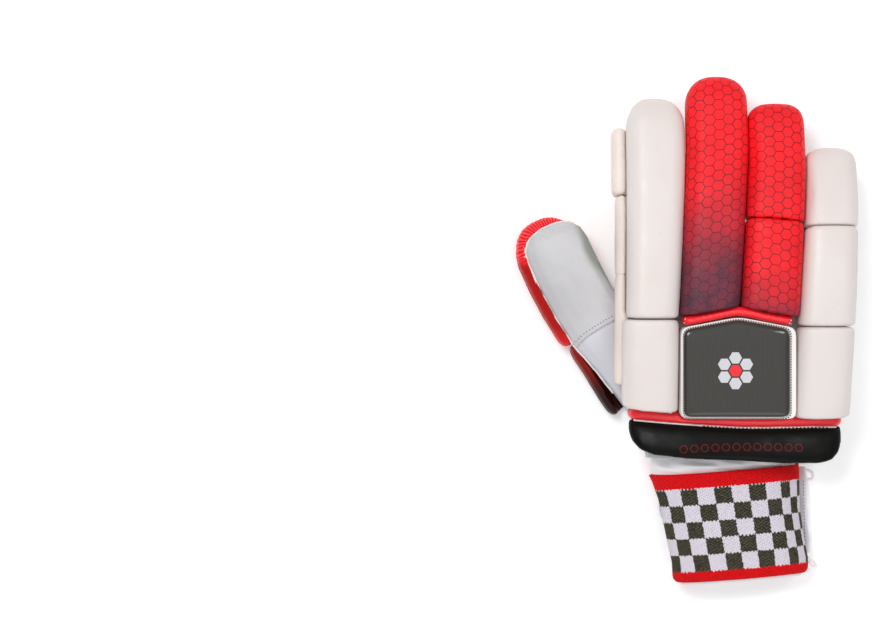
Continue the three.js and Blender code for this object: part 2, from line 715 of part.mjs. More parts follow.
function flareForm() {
  const edge = cuffLine(FLARE_START, FLARE_Z, CUFF_HALF);
  const tilt = radians(FLARE_TILT);
  return skin(
    FLARE_SECTIONS.map(({ at, size, thin }) => {
      const start = edge.getPointAt((at + 1) / 2);
      const halfLength = (size * FLARE_LENGTH) / 2;
      const outline = section(
        halfLength,
        (thin * FLARE_THICKNESS) / 2,
        FLARE_SQUARENESS,
        FLARE_POINTS,
      );
      return outline.map(([run, up]) => {
        const behind = halfLength + run;
        const y = start.y - Math.cos(tilt) * behind - Math.sin(tilt) * up;
        return new THREE.Vector3(start.x, y, start.z + Math.sin(tilt) * behind + Math.cos(tilt) * up);
      });
    }),
  );
}

// Sleeve and band: rings at a distance behind the hand shell
const WRIST_X = HAND_CENTRE + HAND_SECTIONS[0].shift * HAND_WIDTH;
const BAND_MIDDLE = TAB_THICKNESS + SEAM + BAND_THICKNESS / 2; // height of the band's middle
const SLEEVE_INSIDE = SEAM + BAND_WALL; // sleeve's surface to the band's outer surface

function sleeveRing(distance, grow) {
  const past = Math.max(distance - SLEEVE_NECK, 0);
  const share = past / BAND_LENGTH;
  const lean = radians(BAND_LEAN);
  const turn = radians(BAND_TURN) * clamp(distance / SLEEVE_NECK, 0, 1);
  const x = WRIST_X + Math.sin(lean) * past;
  const y = -WRIST_REACH - Math.min(distance, SLEEVE_NECK) - Math.cos(lean) * past;
  const halfWidth = mix(BAND_WIDTH, BAND_HEM_WIDTH, share) / 2 - SLEEVE_INSIDE + grow;
  const halfHeight = BAND_THICKNESS / 2 - SLEEVE_INSIDE + grow;
  return section(halfWidth, halfHeight, HAND_SECTIONS[0].square, HAND_POINTS).map(
    ([across, up]) =>
      new THREE.Vector3(x + Math.cos(turn) * across, y + Math.sin(turn) * across, BAND_MIDDLE + up),
  );
}

function sleeveForm(grow) {
  const end = grow < 0 ? -grow : 0;
  const mouth = handRing(HAND_SECTIONS[0], grow, 0).map((p) => p.setY(-WRIST_REACH - SEAM + end));
  const full = SLEEVE_NECK + BAND_LENGTH + BAND_HEM + end;
  const distances = [SLEEVE_NECK, SLEEVE_NECK + BAND_LENGTH / 2, full];
  return skin([mouth, ...distances.map((distance) => sleeveRing(distance, grow))]);
}

function bandForm(grow) {
  const end = grow < SLEEVE_INSIDE ? SEAM : 0;
  const distances = [SLEEVE_NECK - end, SLEEVE_NECK + BAND_LENGTH / 2, SLEEVE_NECK + BAND_LENGTH + end];
  return skin(distances.map((distance) => sleeveRing(distance, grow)));
}

// Tab under the band: a strip whose free edge curls up, with its length along the band
function tabForm() {
  const flat = TAB_WIDTH - TAB_CURLED;
  const bend = 0.7 * TAB_CURLED;
  const profile = new THREE.Shape();
  profile.moveTo(-flat, 0);
  profile.lineTo(0, 0);
  profile.quadraticCurveTo(bend, 0, TAB_CURLED, TAB_CURL);
  profile.lineTo(TAB_CURLED - 0.5 * TAB_THICKNESS, TAB_CURL + 0.85 * TAB_THICKNESS);
  profile.quadraticCurveTo(bend - 0.5 * TAB_THICKNESS, TAB_THICKNESS, 0, TAB_THICKNESS);
  profile.lineTo(-flat, TAB_THICKNESS);
  profile.closePath();
  const geometry = new THREE.ExtrudeGeometry(profile, {
    depth: TAB_LENGTH,
    bevelEnabled: false,
    curveSegments: 4,
  });
  geometry.rotateX(Math.PI / 2);
  geometry.rotateZ(radians(TAB_LEAN));
  const edge = WRIST_X + BAND_WIDTH / 2 + TAB_OUTSET;
  geometry.translate(edge - TAB_CURLED, -WRIST_REACH - SLEEVE_NECK, FLOOR);
  return solidFrom(geometry);
}

// The glove

const glove = new THREE.Group();
const add = (name, solid, material) => glove.add(meshOf(name, solid, material));

const handGrown = handForm(SEAM);
const thumbGrown = thumbForm(SEAM);
const thumbCavity = thumbForm(-LEATHER);
const stallsGrown = new Map(Object.values(FINGERS).map((finger) => [finger, stallForm(finger, SEAM)]));
const bodyGrown = [handGrown, thumbGrown, ...stallsGrown.values()].reduce((a, b) => a.add(b));

let handShell = handForm(0).subtract(handForm(-LEATHER)).subtract(thumbCavity);
for (const [name, finger] of Object.entries(FINGERS)) {
  const cavity = stallForm(finger, -LEATHER);
  add(`${name}_stall`, stallForm(finger, 0).subtract(cavity).subtract(handGrown), leather);
  handShell = handShell.subtract(cavity);
}
add("hand_shell", handShell, cloth);
add("thumb_stall", thumbForm(0).subtract(thumbCavity).subtract(handGrown), leather);

const plateGrown = plateForm(SEAM);
let padsGrown = plateGrown;
for (const [name, [finger, from, to, slants, material]] of Object.entries(FINGER_PADS)) {
  const form = padForm(finger, from, to, slants, 0);
  add(name, form.subtract(bodyGrown).subtract(plateGrown), material);
  padsGrown = padsGrown.add(padForm(finger, from, to, slants, SEAM));
}
for (const [name, shape] of Object.entries(GUARDS))
  add(name, guardForm(...shape, 0).subtract(bodyGrown).subtract(padsGrown), cream);

const guardsGrown = Object.values(GUARDS)
  .map((shape) => guardForm(...shape, SEAM))
  .reduce((a, b) => a.add(b));
const thumbPads = {
  thumb_pad_tip: [THUMB_PAD_SPLIT + half / THUMB_LENGTH, 1, THUMB_PAD],
  thumb_pad_base: [THUMB_PAD_START, THUMB_PAD_SPLIT - half / THUMB_LENGTH, THUMB_PAD_BASE],
};
for (const [name, shape] of Object.entries(thumbPads))
  add(name, thumbPadForm(...shape, 0).subtract(bodyGrown).subtract(guardsGrown), red);

add("knuckle_plate", plateForm(0).subtract(handGrown), cream);
add("plate_piping", pipingForm(), trim);
add("plate_panel", panelForm(), black);
add("knuckle_roll", knuckleRollForm().subtract(handGrown).subtract(padsGrown), red);
const rollGrown = cuffRollForm(SEAM);
const cuffPipingGrown = cuffPipingForm(SEAM);
add("cuff_roll", cuffRollForm(0).subtract(handGrown).subtract(padsGrown), red);
add("cuff_piping", cuffPipingForm(0).subtract(rollGrown), trim);
add(
  "cuff_flare",
  flareForm().subtract(handGrown).subtract(rollGrown).subtract(cuffPipingGrown),
  black,
);

add("wrist_sleeve", sleeveForm(0).subtract(sleeveForm(-SLEEVE_WALL)), cloth);
add("wrist_band", bandForm(SLEEVE_INSIDE).subtract(bandForm(SEAM)), knit);
add("wrist_tab", tabForm(), cloth);

export default glove;
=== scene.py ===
"""A right-hand cricket batting glove, dressed around its fixed frame.

Everything is in metres: +Z is up, +Y runs to the fingertips and -X to the thumb.
"""

import math
import random

import bmesh
import bpy
from mathutils import Matrix, Vector, noise
from mathutils.bvhtree import BVHTree


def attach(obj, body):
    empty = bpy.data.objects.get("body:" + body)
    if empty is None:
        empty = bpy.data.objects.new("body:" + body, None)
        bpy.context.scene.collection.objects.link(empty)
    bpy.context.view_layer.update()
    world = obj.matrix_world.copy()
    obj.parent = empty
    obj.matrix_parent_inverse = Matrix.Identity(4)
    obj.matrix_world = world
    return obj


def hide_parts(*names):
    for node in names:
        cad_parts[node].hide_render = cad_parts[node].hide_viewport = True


bl_info = {
    "name": "Cricket batting glove",
    "version": (1, 0, 0),
    "blender": (4, 5, 0),
    "location": "3D View > Sidebar > Glove",
    "description": "Dresses a batting glove in padded leather, printed foam and a checked knit cuff",
    "category": "Add Mesh",
}

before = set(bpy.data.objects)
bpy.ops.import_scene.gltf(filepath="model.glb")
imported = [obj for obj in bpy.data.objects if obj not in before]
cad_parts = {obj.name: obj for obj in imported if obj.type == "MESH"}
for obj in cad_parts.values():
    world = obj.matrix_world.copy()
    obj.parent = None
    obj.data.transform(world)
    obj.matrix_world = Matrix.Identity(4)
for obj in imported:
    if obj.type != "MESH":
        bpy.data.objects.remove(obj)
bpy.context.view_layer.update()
MM = 0.001


def paint(code):
    """A colour given as six hex digits, as linear red, green, blue and one."""
    values = [int(code[i : i + 2], 16) / 255 for i in (0, 2, 4)]
    return [v / 12.92 if v < 0.04045 else ((v + 0.055) / 1.055) ** 2.4 for v in values] + [1.0]


def mix(a, b, share):
    return a + (b - a) * share


def clamp(value, low=0.0, high=1.0):
    return max(low, min(high, value))


def smoothstep(low, high, value):
    share = clamp((value - low) / (high - low))
    return share * share * (3 - 2 * share)


def bell(value):
    return math.exp(-(value**2))


def interpolate(rows, place):
    """Value at a place in a table of pairs, held beyond its ends."""
    if place <= rows[0][0]:
        return rows[0][1]
    for (p, a), (q, b) in zip(rows, rows[1:]):
        if place <= q:
            return mix(a, b, (place - p) / (q - p))
    return rows[-1][1]


# Sizes and colours


def length(name, value, description):
    return bpy.props.FloatProperty(
        name=name,
        description=description,
        default=value * MM,
        min=0.0,
        unit="LENGTH",
        precision=4,
    )


def colour(name, code, description):
    return bpy.props.FloatVectorProperty(
        name=name,
        description=description,
        default=paint(code),
        size=4,
        min=0.0,
        max=1.0,
        subtype="COLOR",
    )


class GloveSizes(bpy.types.PropertyGroup):
    """Sizes of the glove's finish."""

    puff: length("Pad puff", 1.2, "How far the foam may crown above its plain shape")
    cell: length("Hexagon", 6.2, "Distance across the flats of a printed hexagon")
    print_line: length("Printed line", 0.5, "Width of the lines of the hexagon print")
    check_width: length("Check width", 10.1, "Width of a check of the band, around the wrist")
    check_height: length("Check height", 10.0, "Height of a check of the band")
    knit_edge: length("Knit edge", 7.6, "Width of the plain knit edge of the band")
    wale: length("Wale", 1.1, "Distance between two wales of the knit")
    stitch: length("Stitch", 1.05, "Length of a stitch of the plate")
    stitch_pitch: length("Stitch pitch", 1.5, "Distance from one stitch of the plate to the next")
    thumb_pitch: length("Thumb stitch pitch", 1.9, "Distance from one stitch of the thumb to the next")
    fold: length("Sleeve fold", 1.0, "Depth of the folds of the wrist sleeve")
    grain: length("Grain", 0.7, "Size of the grain of the leather")
    window: length("Window crown", 1.6, "How far the clear window crowns above its piping")
    emblem: length("Emblem", 6.6, "Distance across the flats of a cell of the plate's emblem")


class GloveColours(bpy.types.PropertyGroup):
    """Colours of the glove."""

    cream: colour("Cream", "E3DAD6", "Leather of the outer pads")
    cream_shade: colour("Cream shade", "DACDC7", "Cream leather where it is worn or shaded")
    gusset: colour("Gusset", "F0E3DA", "Leather of the bars beside the index finger")
    red: colour("Red", "FB1E27", "Printed leather of the middle and ring pads")
    red_line: colour("Red line", "840C1B", "Lines of the hexagon print")
    ember: colour("Ember", "74303F", "Colour that the print fades to at the knuckles")
    ember_deep: colour("Deep ember", "54303E", "Clouds in the faded print")
    # Painted shade: a dark colour laid on the leather that shows in the narrow gaps between the pads, where
    # shade falls
    ember_line: colour("Ember line", "4A2833", "Lines of the print where it is faded")
    gap: colour("Gap", "2E0E12", "Leather in the narrow gaps between the pads")
    roll: colour("Roll", "FF1C2A", "Glossy rolls at the knuckles and the cuff")
    thumb_red: colour("Thumb red", "D8161C", "Pads of the thumb")
    # Also the painted shade in the troughs of the gathers at the thumb's tip
    thumb_dark: colour("Thumb dark red", "B00C08", "Side of the thumb's pads")
    thumb_deep: colour("Thumb deep red", "8A0E05", "Base pad of the thumb where it meets the tip pad")
    thumb_black: colour("Thumb black", "2A100C", "End of the thumb's pads at the wrist")
    palm: colour("Palm leather", "C8C6C9", "Soft leather of the palm, fingers and thumb")
    palm_shade: colour("Palm shade", "ACAAAC", "Palm leather where it is creased")
    thumb_cool: colour("Thumb's lower leather", "CBCBD3", "Leather of the thumb below its seam")
    # Painted shade with a greenish painted reflection, on the slope at the inner side of the thumb's tip
    thumb_side_shade: colour("Thumb's inner side", "868D80", "Leather at the inner side of the thumb's tip")
    black: colour("Flare", "0C0D0B", "Glossy flare behind the cuff roll")
    flare_print: colour("Flare print", "7A1512", "Hexagons printed on the flare")
    panel: colour("Panel", "37342F", "Textile under the clear window")
    piping: colour("Piping", "F2EEEA", "White piping")
    cloth: colour("Cloth", "FAF8FA", "White cloth of the wrist")
    dark_check: colour("Dark check", "2A281F", "Dark knit of the band")
    olive: colour("Olive", "625D4B", "Flecks of the dark knit")
    light_check: colour("Light check", "EAE2EE", "Light knit of the band")
    knit_red: colour("Knit red", "F0060E", "Plain knit edges of the band")
    knit_deep: colour("Deep knit red", "A00008", "Shade of the plain knit edges")
    thread: colour("Thread", "F4F2EE", "Light sewing thread")
    dark_thread: colour("Dark thread", "1B1A18", "Dark sewing thread")
    silver: colour("Silver", "CFCFD4", "Light part of the emblem")
    floor: colour("Floor", "FFFFFF", "Plain floor")


def sizes():
    return bpy.context.scene.glove_sizes


def colours():
    return bpy.context.scene.glove_colours


# Objects and modifiers


def only(obj):
    """Selects one object and makes it active."""
    bpy.ops.object.select_all(action="DESELECT")
    obj.select_set(True)
    bpy.context.view_layer.objects.active = obj
    return obj


def settle(obj):
    """Puts an object's place, turn and size into its mesh."""
    only(obj)
    bpy.ops.object.transform_apply(location=True, rotation=True, scale=True)
    return obj


def edit(obj, *steps):
    """Runs edit-mode steps on all of an object's mesh."""
    only(obj)
    bpy.ops.object.mode_set(mode="EDIT")
    bpy.ops.mesh.select_all(action="SELECT")
    for step in steps:
        step()
    bpy.ops.object.mode_set(mode="OBJECT")
    return obj


def merge(obj, distance=0.01 * MM):
    return edit(obj, lambda: bpy.ops.mesh.remove_doubles(threshold=distance))


def face_out(obj):
    return edit(obj, lambda: bpy.ops.mesh.normals_make_consistent(inside=False))


def new_object(name, data):
    obj = bpy.data.objects.new(name, data)
    bpy.context.scene.collection.objects.link(obj)
    return obj


def copy_of(node, name):
    """A CAD node's mesh as a new object, with the corners of its triangles merged."""
    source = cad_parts[node]
    obj = new_object(name, source.data.copy())
    obj.data.materials.clear()
    only(obj)
    bpy.ops.mesh.customdata_custom_splitnormals_clear()
    return merge(obj)


def finish_modifier(obj, kind, **values):
    """Adds a modifier with its settings and applies it."""
    only(obj)
    modifier = obj.modifiers.new(kind.lower(), kind)
    for key, value in values.items():
        setattr(modifier, key, value)
    bpy.ops.object.modifier_apply(modifier=modifier.name)
    return obj


def remesh(obj, voxel):
    return finish_modifier(obj, "REMESH", mode="VOXEL", voxel_size=voxel * MM)


def relax(obj, times, factor=0.5):
    return finish_modifier(obj, "SMOOTH", factor=factor, iterations=times)


def subdivide(obj, levels=1):
    return finish_modifier(obj, "SUBSURF", levels=levels, render_levels=levels)


def thin_out(obj, share):
    return finish_modifier(obj, "DECIMATE", ratio=share)


def push(obj, distance):
    """Moves a surface out along its normals, in mm, which makes good what smoothing took."""
    return move_points(obj, lambda place, normal: place + normal * distance * MM)


def softened(node_name, name, voxel, times_relaxed, out=0.0):
    """A CAD node's mesh in even faces, with its edges softened and its surface moved out, in mm."""
    obj = remesh(copy_of(node_name, name), voxel)
    relax(obj, times_relaxed)
    return push(obj, out) if out else obj


def shade_smooth(obj):
    only(obj)
    bpy.ops.object.shade_smooth()
    return obj


def move_points(obj, move):
    """Gives each point the place that a function finds from its place and normal, both in metres."""
    moved = [move(v.co, v.normal) for v in obj.data.vertices]
    for vertex, place in zip(obj.data.vertices, moved):
        vertex.co = place
    obj.data.update()
    return obj


SWELL_STEPS = 20
SWELL_PRESSURE = 4.0


def swell(obj, side, top):
    """Blows a pad up by simulation; no point moves further than side, or top where it faces up, in mm."""
    rest = [(v.co.copy(), v.normal.copy()) for v in obj.data.vertices]
    only(obj)
    cloth = obj.modifiers.new("swell", "CLOTH")
    cloth.settings.quality = 4
    cloth.settings.mass = 0.3
    cloth.settings.tension_stiffness = 12
    cloth.settings.compression_stiffness = 12
    cloth.settings.bending_stiffness = 0.6
    cloth.settings.use_pressure = True
    cloth.settings.uniform_pressure_force = SWELL_PRESSURE
    cloth.settings.effector_weights.gravity = 0
    cloth.collision_settings.use_collision = False
    scene = bpy.context.scene
    for number in range(1, SWELL_STEPS + 1):
        scene.frame_set(number)
    bpy.ops.object.modifier_apply(modifier=cloth.name)
    scene.frame_set(1)
    for vertex, (place, normal) in zip(obj.data.vertices, rest):
        reach = mix(side, top, clamp(normal.z) ** 2) * MM
        step = vertex.co - place
        if step.length > reach:
            vertex.co = place + step * (reach / step.length)
    obj.data.update()
    return obj


def dress(obj, material, slot, *nodes):
    """Gives a finished piece its material, attaches it to the root and hides the CAD nodes that it stands
    for; slot is not used.
    """
    obj.data.materials.clear()
    obj.data.materials.append(material)
    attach(obj, "root")
    if nodes:
        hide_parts(*nodes)
    return obj


def surface(*objects):
    """Something to drop points on: the surfaces of these objects together."""
    joined = bmesh.new()
    for obj in objects:
        joined.from_mesh(obj.data)
    tree = BVHTree.FromBMesh(joined)
    joined.free()
    return tree


DROP_HEIGHT = 0.2


def drop(tree, x, y):
    """Where a fall from above meets a surface, and the surface's normal there."""
    place, normal, _, _ = tree.ray_cast(Vector((x, y, DROP_HEIGHT)), Vector((0, 0, -1)))
    if place is None:
        return Vector((x, y, 0)), Vector((0, 0, 1))
    return place, normal


def lerp_path(points, step):
    """Points at even steps along a line of corners, and the direction at each."""
    legs = [(a, b, (b - a).length) for a, b in zip(points, points[1:])]
    total = sum(size for _, _, size in legs)
    count = max(int(round(total / step)), 1)
    placed = []
    for i in range(count + 1):
        left = total * i / count
        for a, b, size in legs:
            if left <= size or b is points[-1]:
                placed.append((a.lerp(b, min(left / size, 1)), (b - a).normalized()))
                break
            left -= size
    return placed


def spline(points, steps=8):
    """A smooth line through points."""
    ends = [points[0] * 2 - points[1], *points, points[-1] * 2 - points[-2]]
    line = []
    for a, b, c, d in zip(ends, ends[1:], ends[2:], ends[3:]):
        for i in range(steps):
            t = i / steps
            bend = (2 * a - 5 * b + 4 * c - d) * t * t
            swing = (3 * b - a - 3 * c + d) * t**3
            line.append(0.5 * (2 * b + (c - a) * t + bend + swing))
    line.append(points[-1].copy())
    return line


def tube(name, points, radius, sides=3):
    """A round cord along points, as a mesh."""
    data = bpy.data.curves.new(name, "CURVE")
    data.dimensions = "3D"
    data.bevel_depth = radius
    data.bevel_resolution = sides
    data.use_fill_caps = True
    line = data.splines.new("POLY")
    line.points.add(len(points) - 1)
    for point, place in zip(line.points, points):
        point.co = (*place, 1)
    obj = only(new_object(name, data))
    bpy.ops.object.convert(target="MESH")
    merge(obj, 0.001 * MM)
    return shade_smooth(face_out(bpy.context.object))


def join(name, objects):
    only(objects[0])
    for obj in objects:
        obj.select_set(True)
    bpy.ops.object.join()
    objects[0].name = name
    objects[0].data.name = name
    return objects[0]


def stitches(name, places, size, thickness):
    """Small rounded stitches, each given by its middle, direction and normal."""
    bpy.ops.object.select_all(action="DESELECT")
    bpy.ops.mesh.primitive_uv_sphere_add(segments=8, ring_count=6, radius=0.5)
    first = bpy.context.object
    first.scale = (size, thickness, thickness * 0.7)
    settle(first)
    arch = 0.25 * thickness
    move_points(first, lambda p, n: Vector((p.x, p.y, p.z + arch * (1 - (2 * p.x / size) ** 2))))
    copies = []
    for middle, along, normal in places:
        across = normal.cross(along).normalized()
        up = along.cross(across).normalized()
        turn = Matrix((along.normalized(), across, up)).transposed().to_4x4()
        mesh = first.data.copy()
        mesh.transform(Matrix.Translation(middle) @ turn)
        copies.append(new_object(name, mesh))
    bpy.data.objects.remove(first)
    return shade_smooth(join(name, copies))


# Materials


def node(tree, kind, values=None, **settings):
    """A shader node, with its settings and the values or links of its sockets."""
    made = tree.nodes.new(kind)
    for key, value in settings.items():
        setattr(made, key, value)
    for key, value in (values or {}).items():
        if isinstance(value, bpy.types.NodeSocket):
            tree.links.new(value, made.inputs[key])
        else:
            made.inputs[key].default_value = value
    return made


def maths(tree, operation, *values):
    return node(tree, "ShaderNodeMath", dict(enumerate(values)), operation=operation).outputs[0]


def add(tree, a, b):
    return maths(tree, "ADD", a, b)


def minus(tree, a, b):
    return maths(tree, "SUBTRACT", a, b)


def times(tree, a, b):
    return maths(tree, "MULTIPLY", a, b)


def unsigned(tree, value):
    return maths(tree, "ABSOLUTE", value)


def sine(tree, value):
    return maths(tree, "SINE", value)


def parts_of(tree, vector):
    """The x and y of a vector, and its z."""
    return tuple(node(tree, "ShaderNodeSeparateXYZ", {"Vector": vector}).outputs)


def vector_maths(tree, operation, *values):
    made = node(tree, "ShaderNodeVectorMath", dict(enumerate(values)), operation=operation)
    return made.outputs["Value" if operation == "LENGTH" else "Vector"]


def ramp(tree, value, low, high, start=0.0, stop=1.0):
    """A value as a smooth share from start to stop between two limits."""
    made = node(
        tree,
        "ShaderNodeMapRange",
        {"Value": value, "From Min": low, "From Max": high, "To Min": start, "To Max": stop},
        interpolation_type="SMOOTHSTEP",
    )
    return made.outputs["Result"]


def blend(tree, share, a, b):
    made = node(tree, "ShaderNodeMix", {0: share, 6: a, 7: b}, data_type="RGBA")
    return made.outputs[2]


def place_of(tree):
    return node(tree, "ShaderNodeTexCoord").outputs["Object"]


def attribute(tree, name):
    return node(tree, "ShaderNodeAttribute", attribute_name=name).outputs["Fac"]


def speckle(tree, where, size, detail=2.0, roughness=0.5):
    """Noise whose patches are about size metres wide."""
    values = {"Vector": where, "Scale": 1 / size, "Detail": detail, "Roughness": roughness}
    return node(tree, "ShaderNodeTexNoise", values).outputs["Fac"]


def bump(tree, height, depth, normal=None):
    values = {"Height": height, "Distance": depth, "Strength": 1.0}
    if normal is not None:
        values["Normal"] = normal
    return node(tree, "ShaderNodeBump", values).outputs["Normal"]


def new_material(name, **sockets):
    """A new material with its tree and its shader, whose plain sockets are set."""
    material = bpy.data.materials.new(name)
    material.use_nodes = True
    tree = material.node_tree
    shader = tree.nodes["Principled BSDF"]
    for key, value in sockets.items():
        shader.inputs[key.replace("_", " ")].default_value = value
    return material, tree, shader


def plug(tree, shader, **outputs):
    """Links outputs to the shader's sockets of these names."""
    for key, value in outputs.items():
        tree.links.new(value, shader.inputs[key.replace("_", " ")])


def tint_over(material, share_of):
    """Lays a further colour over a material's own one."""
    tree = material.node_tree
    socket = tree.nodes["Principled BSDF"].inputs["Base Color"]
    tree.links.new(share_of(tree, socket.links[0].from_socket), socket)


def wander(tree, where, size, detail, reach):
    """Noise about nought, reach metres from its lowest to its highest."""
    return times(tree, minus(tree, speckle(tree, where, size, detail), 0.5), reach)


def uneven_gloss(tree, where, size, low, high):
    """Roughness that wavers between two values."""
    return ramp(tree, speckle(tree, where, size, 3.0), 0.3, 0.7, low, high)


def grained(tree, where, size, depth):
    """Normal of a grained leather: pebbles with fine pores between them."""
    pebbles = node(
        tree,
        "ShaderNodeTexVoronoi",
        {"Vector": where, "Scale": 1 / size, "Randomness": 1.0},
        feature="SMOOTH_F1",
    ).outputs["Distance"]
    pores = speckle(tree, where, size * 0.4, 3.0, 0.6)
    soft = speckle(tree, where, size * 9, 2.0)
    fine = bump(tree, add(tree, times(tree, pebbles, 0.7), times(tree, pores, 0.5)), depth)
    return bump(tree, soft, depth * 6, fine)


def leather(name, main, shade, roughness=0.45, depth=0.02, coat=0.0, dirt=0.35, ior=1.48):
    """Coated leather with fine grain, soft shade and slightly uneven gloss."""
    material, tree, shader = new_material(name, Coat_Weight=coat, Coat_Roughness=0.25, IOR=ior)
    where = place_of(tree)
    clouds = ramp(tree, speckle(tree, where, 34 * MM, 3.0), 0.38, 0.72)
    rub = ramp(tree, speckle(tree, where, 7 * MM, 4.0, 0.62), 0.56, 0.8)
    plug(
        tree,
        shader,
        Base_Color=blend(tree, times(tree, maths(tree, "MAXIMUM", clouds, rub), dirt), main, shade),
        Roughness=uneven_gloss(tree, where, 12 * MM, roughness - 0.05, roughness + 0.08),
        Normal=grained(tree, where, sizes().grain, depth * MM),
    )
    return material


def thumb_leather(name):
    """Soft leather of the thumb: cooler below the seam, with painted shade and a greenish painted reflection
    at the inner side, which slopes away from the light.
    """
    tones = colours()
    material = leather(name, tones.palm, tones.palm_shade, roughness=0.5, depth=0.03, dirt=0.45)

    def sides(tree, ground):
        cooler = blend(tree, attribute(tree, "below_seam"), ground, tones.thumb_cool)
        return blend(tree, attribute(tree, "painted_inner_shade"), cooler, tones.thumb_side_shade)

    tint_over(material, sides)
    return material


def hexagon_edge(tree, where, cell):
    """Distance from the nearest edge of a field of hexagons, in cells; their flats lie across v."""
    x, y, _ = parts_of(tree, where)
    cells = {"X": maths(tree, "DIVIDE", y, cell), "Y": maths(tree, "DIVIDE", x, cell)}
    turned = node(tree, "ShaderNodeCombineXYZ", cells).outputs["Vector"]
    half = (0.5, math.sqrt(3) / 2, 1.0)
    low = (-half[0], -half[1], -1.0)
    first = vector_maths(tree, "WRAP", turned, half, low)
    moved = vector_maths(tree, "SUBTRACT", turned, (half[0], half[1], 0))
    second = vector_maths(tree, "WRAP", moved, half, low)
    lengths = [vector_maths(tree, "LENGTH", wrapped) for wrapped in (first, second)]
    nearer = maths(tree, "LESS_THAN", *lengths)
    local = node(tree, "ShaderNodeMix", {0: nearer, 4: second, 5: first}, data_type="VECTOR").outputs[1]
    x, y, _ = parts_of(tree, vector_maths(tree, "ABSOLUTE", local))
    slanted = add(tree, times(tree, x, 0.5), times(tree, y, math.sqrt(3) / 2))
    return minus(tree, 0.5, maths(tree, "MAXIMUM", x, slanted))


def printed_leather(name, main, fade=None):
    """Red leather printed with hexagons; fade is where it turns to ember, in metres from the pad's base."""
    tones = colours()
    material, tree, shader = new_material(name, IOR=1.32)
    where = place_of(tree)
    map_ = node(tree, "ShaderNodeUVMap", uv_map="surface").outputs["UV"]
    cell = sizes().cell
    edge = hexagon_edge(tree, map_, cell)
    width = sizes().print_line / cell / 2
    line = ramp(tree, edge, width * 0.6, width * 1.5, 1.0, 0.0)
    worn = ramp(tree, speckle(tree, where, 9 * MM, 4.0, 0.6), 0.3, 0.6, 0.6, 1.0)
    along = parts_of(tree, map_)[1]
    shade = ramp(tree, speckle(tree, where, 26 * MM, 3.0), 0.35, 0.75, 0.0, 0.22)
    ground = blend(tree, shade, main, tones.red_line)
    ink = tones.red_line
    if fade:
        ragged = add(tree, along, wander(tree, where, 14 * MM, 4.0, 26 * MM))
        share = ramp(tree, ragged, *fade, 1.0, 0.0)
        clouds = ramp(tree, speckle(tree, where, 11 * MM, 4.0, 0.6), 0.42, 0.66)
        ground = blend(tree, share, ground, blend(tree, clouds, tones.ember, tones.ember_deep))
        ink = blend(tree, share, ink, tones.ember_line)
    plug(
        tree,
        shader,
        Base_Color=blend(tree, times(tree, line, worn), ground, ink),
        Roughness=uneven_gloss(tree, where, 10 * MM, 0.46, 0.58),
        Normal=bump(tree, line, -0.02 * MM, grained(tree, where, sizes().grain, 0.012 * MM)),
    )
    return material


WEAVE = 0.6 * MM


def woven_cloth(name, main):
    """Plain white cloth with a fine weave."""
    material, tree, shader = new_material(name, Roughness=0.85, Sheen_Weight=0.3, Sheen_Roughness=0.6)
    where = place_of(tree)
    wave = {"Vector": where, "Scale": 1 / WEAVE / 3.2, "Distortion": 0.6, "Detail": 1.0, "Detail Scale": 2.0}
    bands = [
        node(tree, "ShaderNodeTexWave", wave, bands_direction=direction).outputs["Fac"]
        for direction in ("X", "Y")
    ]
    weave = maths(tree, "MAXIMUM", *bands)
    tint = ramp(tree, speckle(tree, where, 15 * MM, 3.0), 0.35, 0.75, 0.0, 0.12)
    height = add(tree, weave, speckle(tree, where, 0.5 * MM, 2.0))
    plug(
        tree,
        shader,
        Base_Color=blend(tree, tint, main, (0.55, 0.53, 0.55, 1)),
        Normal=bump(tree, height, 0.08 * MM),
    )
    return material


def thread_material(name, main):
    """Twisted sewing thread."""
    material, tree, shader = new_material(name, Roughness=0.7, Sheen_Weight=0.2)
    where = place_of(tree)
    tint = ramp(tree, speckle(tree, where, 0.8 * MM, 2.0), 0.3, 0.7, 0.0, 0.25)
    plug(
        tree,
        shader,
        Base_Color=blend(tree, tint, main, (0.3, 0.28, 0.27, 1)),
        Normal=bump(tree, speckle(tree, where, 0.25 * MM, 1.0), 0.04 * MM),
    )
    return material


